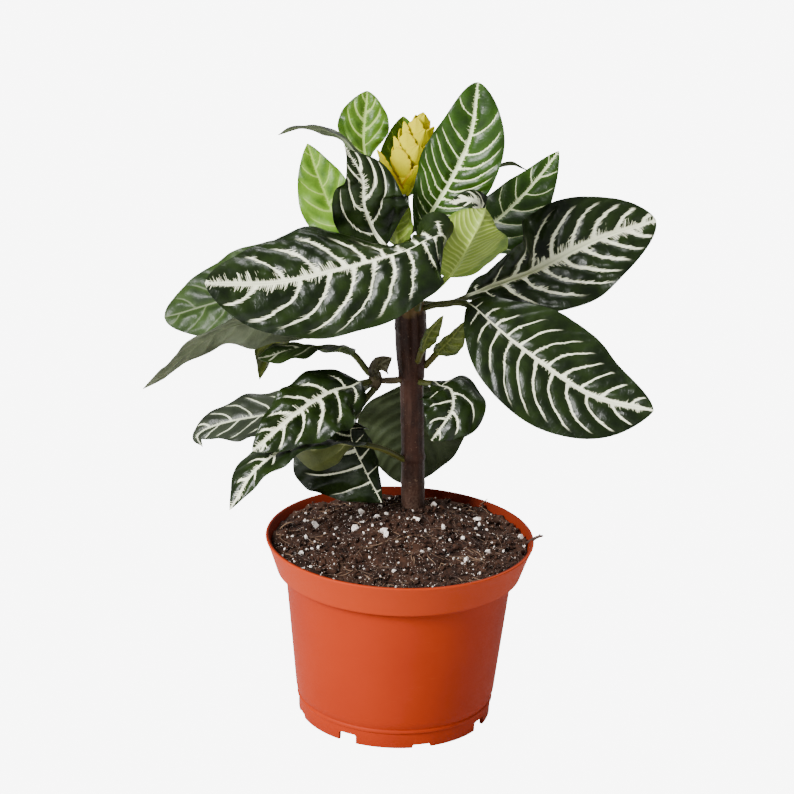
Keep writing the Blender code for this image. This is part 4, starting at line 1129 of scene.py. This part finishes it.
def made_leaf(name, leaf, pattern, stalk_rows, blade_rows, columns):
    """Bends a sheet into the leaf, and lays two maps on it: shares, and real millimetres."""
    rows, share = leaf_rows(leaf, stalk_rows, blade_rows + 1)
    piece = sheet(name, len(rows) - 1, columns)
    frame_of_leaf = leaf_frame(leaf, rows)
    lines = np.linspace(-1, 1, columns + 1)
    flat = points_of(piece) * MM
    row = np.round((flat[:, 0] + 1) / 2 * (len(rows) - 1)).astype(int)
    column = np.round((flat[:, 1] + 1) / 2 * columns).astype(int)
    under = flat[:, 2:] < -0.05
    made = zip(*[leaf_column(leaf, pattern, frame_of_leaf, share, across) for across in lines])
    upper, lower, across_mm = [np.array(part)[column, row] for part in made]
    move_points(piece, np.where(under, lower, upper))
    lay_map(piece, "blade", np.stack([share[row], lines[column]], -1))
    lay_map(piece, "ruler", np.stack([rows[row] * frame_of_leaf[3], across_mm], -1))
    return piece


# %% [markdown]
# ### The veins in a node group
#
# The group below turns the two maps of a leaf into masks. It counts the veins as above, lets
# fine spikes grow out of their edges, narrows them towards the margin, and gives each its own
# strength by chance. Every leaf material places this group with its own numbers.

# %% Build the vein group
VEIN_NUMBERS = ["Length", "Veins", "Crowd", "Lean Base", "Lean Tip", "Width", "Rib Base", "Rib Middle", "Rib Tip",
                "Ragged", "Reach Right", "Reach Left"]
veining, given, puts_out = new_group(
    "leaf veins", ["Blade", "Ruler"], VEIN_NUMBERS, ["Vein", "Halo", "Rib", "Stalk", "Net"])
work, times, plus, less = veining.work, veining.times, veining.plus, veining.less
ramp, fade, cloud = veining.ramp, veining.fade, veining.cloud

share, across, _ = veining.split(given["Blade"])
along_mm, across_mm, _ = veining.split(given["Ruler"])
out_mm = work("ABSOLUTE", across_mm)
far = work("ABSOLUTE", across)
left = work("LESS_THAN", across, 0.0)
wander = times(less(cloud(given["Ruler"], 0.07, 1.0), 0.5), 0.03)
lean = plus(given["Lean Base"], times(less(given["Lean Tip"], given["Lean Base"]), share))
bent = work("POWER", far, BEND)
swing = work("DIVIDE", times(lean, out_mm, bent), given["Length"])
passed = work("MAXIMUM", plus(less(share, swing), wander), -0.5)
ahead = work("MAXIMUM", less(1.0, passed), 0.0)
count = plus(times(given["Veins"], less(1.0, work("POWER", ahead, given["Crowd"]))), times(left, HALF_OFFSET))
each = times(given["Veins"], given["Crowd"], work("POWER", ahead, less(given["Crowd"], 1.0)))
steep = times(lean, bent, 1.0 + BEND)
spacing = work("DIVIDE", given["Length"], times(each, work("SQRT", plus(1.0, times(steep, steep)))))
aside = times(work("PINGPONG", count, 0.5), spacing)

# %% Give each vein its own strength, and spikes along its edges
chance = veining.step("TexWhiteNoise", {"W": plus(work("ROUND", count), times(left, 40.0))},
                      noise_dimensions="1D")["Value"]
reach = plus(given["Reach Right"], times(left, less(given["Reach Left"], given["Reach Right"])))
reach = times(reach, ramp(passed, 0.0, 0.3, 0.7, 1.0))
reached = fade(plus(far, times(chance, 0.12)), less(reach, 0.1), plus(reach, 0.06))
long_spikes = ramp(cloud(given["Ruler"], 0.13, 1.0), 0.36, 0.62, 0.35, 1.25)


def spikes(along, out):
    """The length of thin pale spikes that grow out of an edge, leaning forwards."""
    place = veining.joined(less(times(along, 1.7), times(out, 0.7)), times(out, 0.08), left)
    thin = ramp(cloud(place, 1.0, 2.0, 0.65), 0.43, 0.76)
    return times(thin, long_spikes, given["Ragged"], 2.0)


taper = less(0.62, times(far, 0.42))
flare = times(fade(far, 0.0, 0.22), 0.4)
half_width = times(given["Width"], plus(taper, flare), plus(0.65, times(chance, 0.65)),
                   ramp(passed, 0.05, 0.35, 0.55, 1.0))
side_spikes = times(spikes(out_mm, times(count, 5.0)), less(0.75, times(far, 0.5)))
beside = less(aside, plus(half_width, side_spikes))
shown = times(reached, ramp(passed, 0.01, 0.05))

# %% Add the midrib, the stalk and the fine net
rib_width = plus(ramp(share, 0.0, 0.5, given["Rib Base"], given["Rib Middle"]),
                 ramp(share, 0.5, 0.92, 0.0, less(given["Rib Tip"], given["Rib Middle"])))
rib_half = times(rib_width, 0.5, ramp(share, 0.9, 1.0, 1.0, 0.25))
rib_spikes = times(spikes(along_mm, out_mm), ramp(share, 0.15, 0.5, 0.15, 1.9))
rib_beside = less(out_mm, plus(rib_half, rib_spikes))
on_blade = ramp(share, -0.03, 0.04)
in_rib = fade(less(out_mm, times(rib_half, 0.3)), -0.25, 0.2)
net = veining.step("TexVoronoi", {"Vector": veining.joined(times(along_mm, 0.42), times(across_mm, 0.26)),
                                  "Scale": 1.0}, feature="DISTANCE_TO_EDGE")["Distance"]
for label, value in (
        ("Vein", work("MAXIMUM", times(fade(beside, -0.2, 0.2), shown), times(fade(rib_beside, -0.2, 0.25), on_blade))),
        ("Halo", work("MAXIMUM", times(fade(beside, 0.0, 3.2), shown), times(fade(rib_beside, 0.0, 3.0), on_blade))),
        ("Rib", times(in_rib, on_blade, ramp(share, 0.1, 0.5, 1.7, 0.8))),
        ("Stalk", fade(share, -0.04, 0.03)),
        ("Net", fade(net, 0.0, 0.12))):
    veining.feed(puts_out[label], value)
print("group:", veining.tree.name, len(veining.tree.nodes), "steps")

# %% [markdown]
# ### Leaf colours
#
# An old leaf is a deep glossy green with ivory veins. Leaves that have just opened are a thin
# light green with yellow-green veins, and the undersides of all of them are paler, duller and
# have raised veins. Beside a vein a young green is always a little lighter, which the halo mask
# gives. The gloss is a plain roughness, broken by the fine net of veinlets as a bump.

# %% Leaf finishes
def finish(deep, tone, halo, vein, rib, stalk, gloss):
    """Two greens of the blade, its green beside a vein, a vein, the midrib, the stalk, the roughness."""
    return dict(deep=deep, tone=tone, halo=halo, vein=vein, rib=rib, stalk=stalk, gloss=gloss)


LOOKS = {
    "dark": finish((0.0035, 0.0075, 0.0015), (0.012, 0.024, 0.0035), (0.008, 0.016, 0.0025), (0.9, 0.92, 0.66),
        (0.46, 0.5, 0.3), (0.055, 0.06, 0.016), 0.28),
    "green": finish((0.009, 0.027, 0.0013), (0.021, 0.058, 0.0035), (0.035, 0.085, 0.006), (0.78, 0.88, 0.5),
        (0.5, 0.6, 0.28), (0.07, 0.11, 0.015), 0.32),
    "spring": finish((0.022, 0.06, 0.004), (0.07, 0.15, 0.01), (0.1, 0.2, 0.018), (0.42, 0.56, 0.15),
        (0.38, 0.52, 0.14), (0.12, 0.19, 0.02), 0.35),
    "young": finish((0.03, 0.085, 0.005), (0.11, 0.23, 0.015), (0.17, 0.32, 0.03), (0.34, 0.48, 0.1),
        (0.3, 0.44, 0.09), (0.12, 0.19, 0.02), 0.38),
    "olive": finish((0.03, 0.048, 0.004), (0.07, 0.093, 0.009), (0.11, 0.14, 0.016), (0.22, 0.26, 0.07),
        (0.18, 0.2, 0.05), (0.08, 0.075, 0.015), 0.4),
    "dull": finish((0.009, 0.02, 0.003), (0.026, 0.05, 0.009), (0.032, 0.06, 0.011), (0.62, 0.66, 0.44),
        (0.3, 0.36, 0.18), (0.07, 0.085, 0.025), 0.4),
    "grey": finish((0.01, 0.0135, 0.007), (0.021, 0.027, 0.0145), (0.026, 0.034, 0.018), (0.66, 0.7, 0.5),
        (0.5, 0.54, 0.36), (0.06, 0.07, 0.025), 0.38),
    "faded": finish((0.017, 0.023, 0.01), (0.042, 0.052, 0.024), (0.048, 0.06, 0.028), (0.4, 0.44, 0.28),
        (0.3, 0.34, 0.2), (0.06, 0.065, 0.025), 0.38),
    "bronze": finish((0.018, 0.014, 0.007), (0.045, 0.038, 0.018), (0.06, 0.055, 0.025), (0.24, 0.24, 0.14),
        (0.2, 0.2, 0.11), (0.05, 0.045, 0.02), 0.4),
}
UNDERSIDES = {
    "dark": finish((0.022, 0.035, 0.01), (0.04, 0.06, 0.018), (0.06, 0.085, 0.028), (0.24, 0.28, 0.12),
        (0.2, 0.24, 0.1), (0.07, 0.085, 0.02), 0.45),
    "green": finish((0.035, 0.062, 0.012), (0.065, 0.1, 0.022), (0.1, 0.14, 0.035), (0.28, 0.34, 0.12),
        (0.24, 0.3, 0.1), (0.09, 0.13, 0.02), 0.45),
    "spring": finish((0.08, 0.13, 0.012), (0.12, 0.19, 0.02), (0.18, 0.26, 0.035), (0.4, 0.5, 0.12),
        (0.34, 0.45, 0.1), (0.15, 0.22, 0.03), 0.42),
    "young": finish((0.085, 0.15, 0.011), (0.165, 0.26, 0.024), (0.27, 0.36, 0.045), (0.45, 0.56, 0.14),
        (0.2, 0.3, 0.04), (0.18, 0.26, 0.035), 0.42),
    "olive": finish((0.05, 0.07, 0.007), (0.09, 0.115, 0.013), (0.12, 0.15, 0.02), (0.2, 0.24, 0.06),
        (0.16, 0.2, 0.05), (0.08, 0.08, 0.015), 0.45),
    "dull": finish((0.03, 0.043, 0.017), (0.062, 0.082, 0.034), (0.072, 0.094, 0.039), (0.16, 0.2, 0.1),
        (0.14, 0.18, 0.09), (0.08, 0.1, 0.03), 0.48),
    "grey": finish((0.075, 0.09, 0.05), (0.13, 0.155, 0.085), (0.16, 0.19, 0.105), (0.22, 0.26, 0.14),
        (0.18, 0.21, 0.11), (0.08, 0.09, 0.035), 0.48),
    "bronze": finish((0.03, 0.025, 0.012), (0.06, 0.05, 0.025), (0.08, 0.07, 0.035), (0.2, 0.19, 0.11),
        (0.16, 0.15, 0.09), (0.06, 0.05, 0.025), 0.48),
    "tan": finish((0.052, 0.065, 0.013), (0.1, 0.117, 0.028), (0.13, 0.15, 0.04), (0.26, 0.28, 0.12),
        (0.22, 0.24, 0.1), (0.1, 0.1, 0.02), 0.5),
}
LEAF_SHINE = 0.28


def leaf_paint(name, leaf, pattern, look):
    """A leaf's material: two greens, a lighter green by the veins, the veins, the stalk."""
    paint = Paint(name, (70.0, 900.0), IOR=1.45, Specular_IOR_Level=LEAF_SHINE)
    numbers = (leaf["blade_length"], pattern["veins"], pattern["crowd"], *pattern["lean"], pattern["width"],
               *pattern["rib"], pattern["ragged"], *pattern["reach"])
    veins = paint.group(veining, Blade=paint.uv("blade"), Ruler=paint.uv("ruler"), **dict(zip(VEIN_NUMBERS, numbers)))
    paint.start(look["deep"], look["tone"], paint.broad)
    for mask, strength, part in (("Net", 0.08, "halo"), ("Halo", 0.6, "halo"), ("Vein", pattern["faint"], "vein"),
                                 ("Rib", 0.5, "rib"), ("Stalk", None, "stalk")):
        paint.over(look[part], veins[mask], strength)
    relief = paint.less(paint.times(paint.fine, 0.2), paint.times(veins["Net"], 0.4))
    return paint.done(relief, 0.4, 0.25, paint.ramp(veins["Vein"], 0.0, 1.0, look["gloss"], look["gloss"] + 0.2))


# %% Make every leaf
WIDE_LEAF = 36
STALK_ROWS, FINE_GRID, COARSE_GRID = 12, (120, 48), (64, 28)
YOUNG_LOOKS = ("young", "olive")
for name, leaf in LEAVES.items():
    pattern = PATTERNS[name]
    length = smooth_route([leaf_root(leaf), *leaf["route"]])[1][-1]
    leaf["blade_length"] = float(length * (1 - leaf["stalk"]))
    grid = FINE_GRID if leaf["width"] >= WIDE_LEAF else COARSE_GRID
    piece = made_leaf(f"{name}_blade", leaf, pattern, STALK_ROWS, *grid)
    paints = [leaf_paint(f"{name} {side}", leaf, pattern, looks[pattern[key]])
              for side, looks, key in (("upper", LOOKS, "look"), ("under", UNDERSIDES, "under"))]
    smooth(piece, 60.0)
    numbers = [face.material_index for face in piece.data.polygons]
    print(f"{sum(numbers)} of {len(numbers)} faces are the underside's")
    finished(piece, "young_leaf" if pattern["look"] in YOUNG_LOOKS else "leaf", *paints, stands_for=name)
    piece.data.polygons.foreach_set("material_index", numbers)

# %% [markdown]
# ## The flower spike
#
# The flower is a cone of broad, overlapping bracts, each a small cupped leaf with a pointed
# tip and a few fine teeth. One way is to array a single bract; here each is bent from its own
# small sheet, because they get smaller and stand up straighter towards the top.

# %% Bend the bracts
# A bract's climb runs from 0 at the lowest to 1 at the top one. BRACT_REACH: climb, and how
# far the tip stands from the axis. BRACT_OUTLINE: share of the length, and of the half width.
SPIKE_BASE = np.array([-4.7, 45.0, 299.3])
SPIKE_TIP = np.array([4.5, 60.0, 341.2])
BRACTS = 24
BRACT_TURN, BRACT_START = 136.0, 180.0
BRACT_FOOT_RADIUS = 2.0
BRACT_FOOT_LOW, BRACT_FOOT_TOP = 1.8, 33.0
BRACT_TIP_LOW, BRACT_TIP_TOP = 21.0, 48.5
BRACT_REACH = [(0.0, 20.5), (0.05, 16.0), (0.3, 13.5), (0.6, 12.0), (0.8, 8.0), (1.0, 1.2)]
BRACT_OUTLINE = [(0.0, 0.55), (0.3, 0.95), (0.6, 1.0), (0.85, 0.62), (1.0, 0.06)]
BRACT_WIDTH, BRACT_NARROWER, BRACT_THICKNESS, BRACT_BOW, BRACT_CUP = 15.0, 0.35, 0.7, 2.0, 0.35
BRACT_ROWS, BRACT_COLUMNS, TEETH = 28, 16, 7.0

spike_axis = SPIKE_TIP - SPIKE_BASE
spike_length = float(np.linalg.norm(spike_axis))
spike_axis = spike_axis / spike_length
spike_right = unit(np.cross([0.0, 1.0, 0.0], spike_axis))
spike_back = np.cross(spike_axis, spike_right)


def bract_point(number, share, across, under):
    """A point of one bract, from its foot on the spike to its toothed tip."""
    climb = number / (BRACTS - 1)
    turn = math.radians(BRACT_START + BRACT_TURN * number)
    out = spike_right * math.cos(turn) + spike_back * math.sin(turn)
    foot_up = BRACT_FOOT_LOW + (BRACT_FOOT_TOP - BRACT_FOOT_LOW) * climb
    tip_up = BRACT_TIP_LOW + (BRACT_TIP_TOP - BRACT_TIP_LOW) * climb
    foot = SPIKE_BASE + spike_axis * foot_up + out * BRACT_FOOT_RADIUS
    tip = SPIKE_BASE + spike_axis * tip_up + out * np.interp(climb, *zip(*BRACT_REACH))
    ahead = unit(tip - foot)
    away = unit(out - ahead * (out @ ahead))
    side = np.cross(ahead, away)
    size = 1.0 - BRACT_NARROWER * climb
    half = size * BRACT_WIDTH / 2 * np.interp(share, *zip(*BRACT_OUTLINE))
    tooth = size * abs(math.sin(TEETH * math.pi * share)) * smoothstep((share - 0.35) / 0.3) * abs(across) ** 6
    half = max(0.2, half + tooth * min(1.0, 4.0 * (1.0 - share)))
    bow = BRACT_BOW * math.sin(math.pi * share) + 0.2 * math.cos(6 * across) * share
    cup = -BRACT_CUP * half * across * across
    point = foot + (tip - foot) * share + side * (half * across)
    return point + away * (bow + cup - (BRACT_THICKNESS if under else 0.0))


bracts = []
for number in range(BRACTS):
    piece = sheet(f"bract_{number + 1}", BRACT_ROWS, BRACT_COLUMNS)
    flat = points_of(piece) * MM
    move_points(piece, np.array([bract_point(number, (x + 1) / 2, y, z < -0.05) for x, y, z in flat]))
    lay_map(piece, "blade", np.stack([(flat[:, 0] + 1) / 2, flat[:, 1]], -1))
    bracts.append(piece)
print("bracts:", len(bracts))

# %% Add the core that they grow from
CORE_RADII = [3.2, 5.4, 6.2, 5.8, 4.4, 1.8]
CORE_SIDES, CORE_RINGS, CORE_SHARE = 24, 12, 0.78

core = disc("spike_core", CORE_SIDES)
for ring in range(CORE_RINGS):
    extrude(1)
closed(core)
rod = points_of(core)
climb = rod[:, 2] / CORE_RINGS
radius = np.interp(climb, np.linspace(0, 1, len(CORE_RADII)), CORE_RADII)
move_points(core, SPIKE_BASE + spike_axis * (climb * spike_length * CORE_SHARE)[:, None]
            + spike_right * (rod[:, 0] * radius)[:, None] + spike_back * (rod[:, 1] * radius)[:, None])
core.data.uv_layers.new(name="blade")
spike = all_joined("spike_bracts", [*bracts, core])
smooth(spike, 60.0)

# %% [markdown]
# ### Waxy yellow
#
# The bracts are a clear yellow, greenish white at the foot, and painted a warmer yellow towards
# each bract's foot, as painted shade where they overlap. Their edges are painted orange, and
# brown low on the spike, as painted shade between the bracts. A faint run of veins goes up each
# bract. The surface is waxy: a soft gloss.

# %% Colour the spike
wax = Paint("yellow bract", (90.0, 900.0), Roughness=0.5, IOR=1.45, Specular_IOR_Level=0.05)
share, across, _ = wax.split(wax.uv("blade"))
height = wax.split(wax.place)[2]
aside = wax.work("ABSOLUTE", across)
ribs = wax.fade(wax.work("PINGPONG", wax.times(across, 3.5), 0.5), 0.0, 0.16)
wax.start((0.56, 0.48, 0.0), (0.62, 0.57, 0.0), wax.broad)
wax.over((0.55, 0.34, 0.0), ribs, 0.08)
# Painted shade: each bract's lower half is painted a warmer yellow, where the bracts overlap.
wax.over((0.6, 0.38, 0.0), wax.fade(share, 0.05, 0.5), 0.35)
wax.over((0.45, 0.46, 0.05), wax.fade(height, 0.297, 0.313), 0.6)
# Painted shade: the bracts' edges are painted orange, and dark brown low on the spike, standing in for the shade
# between overlapping bracts.
wax.over((0.55, 0.34, 0.0), wax.ramp(aside, 0.9, 1.0), 0.4)
wax.over((0.3, 0.1, 0.0), wax.times(wax.ramp(aside, 0.8, 1.0), wax.fade(height, 0.305, 0.32)), 0.7)
finished(spike, "bract", wax.done(wax.plus(ribs, wax.fine), 0.3, 0.2), stands_for="flower_spike")

# %% [markdown]
# ## Closing up
#
# The imported model's box and the visual model's box are printed side by side.

# %% Print both boxes
NEW_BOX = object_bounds()
for label, low, high in (("packed", *CAD_BOX), ("visual", *NEW_BOX)):
    print(label, [round((b - a) / MM, 1) for a, b in zip(low, high)], "mm")
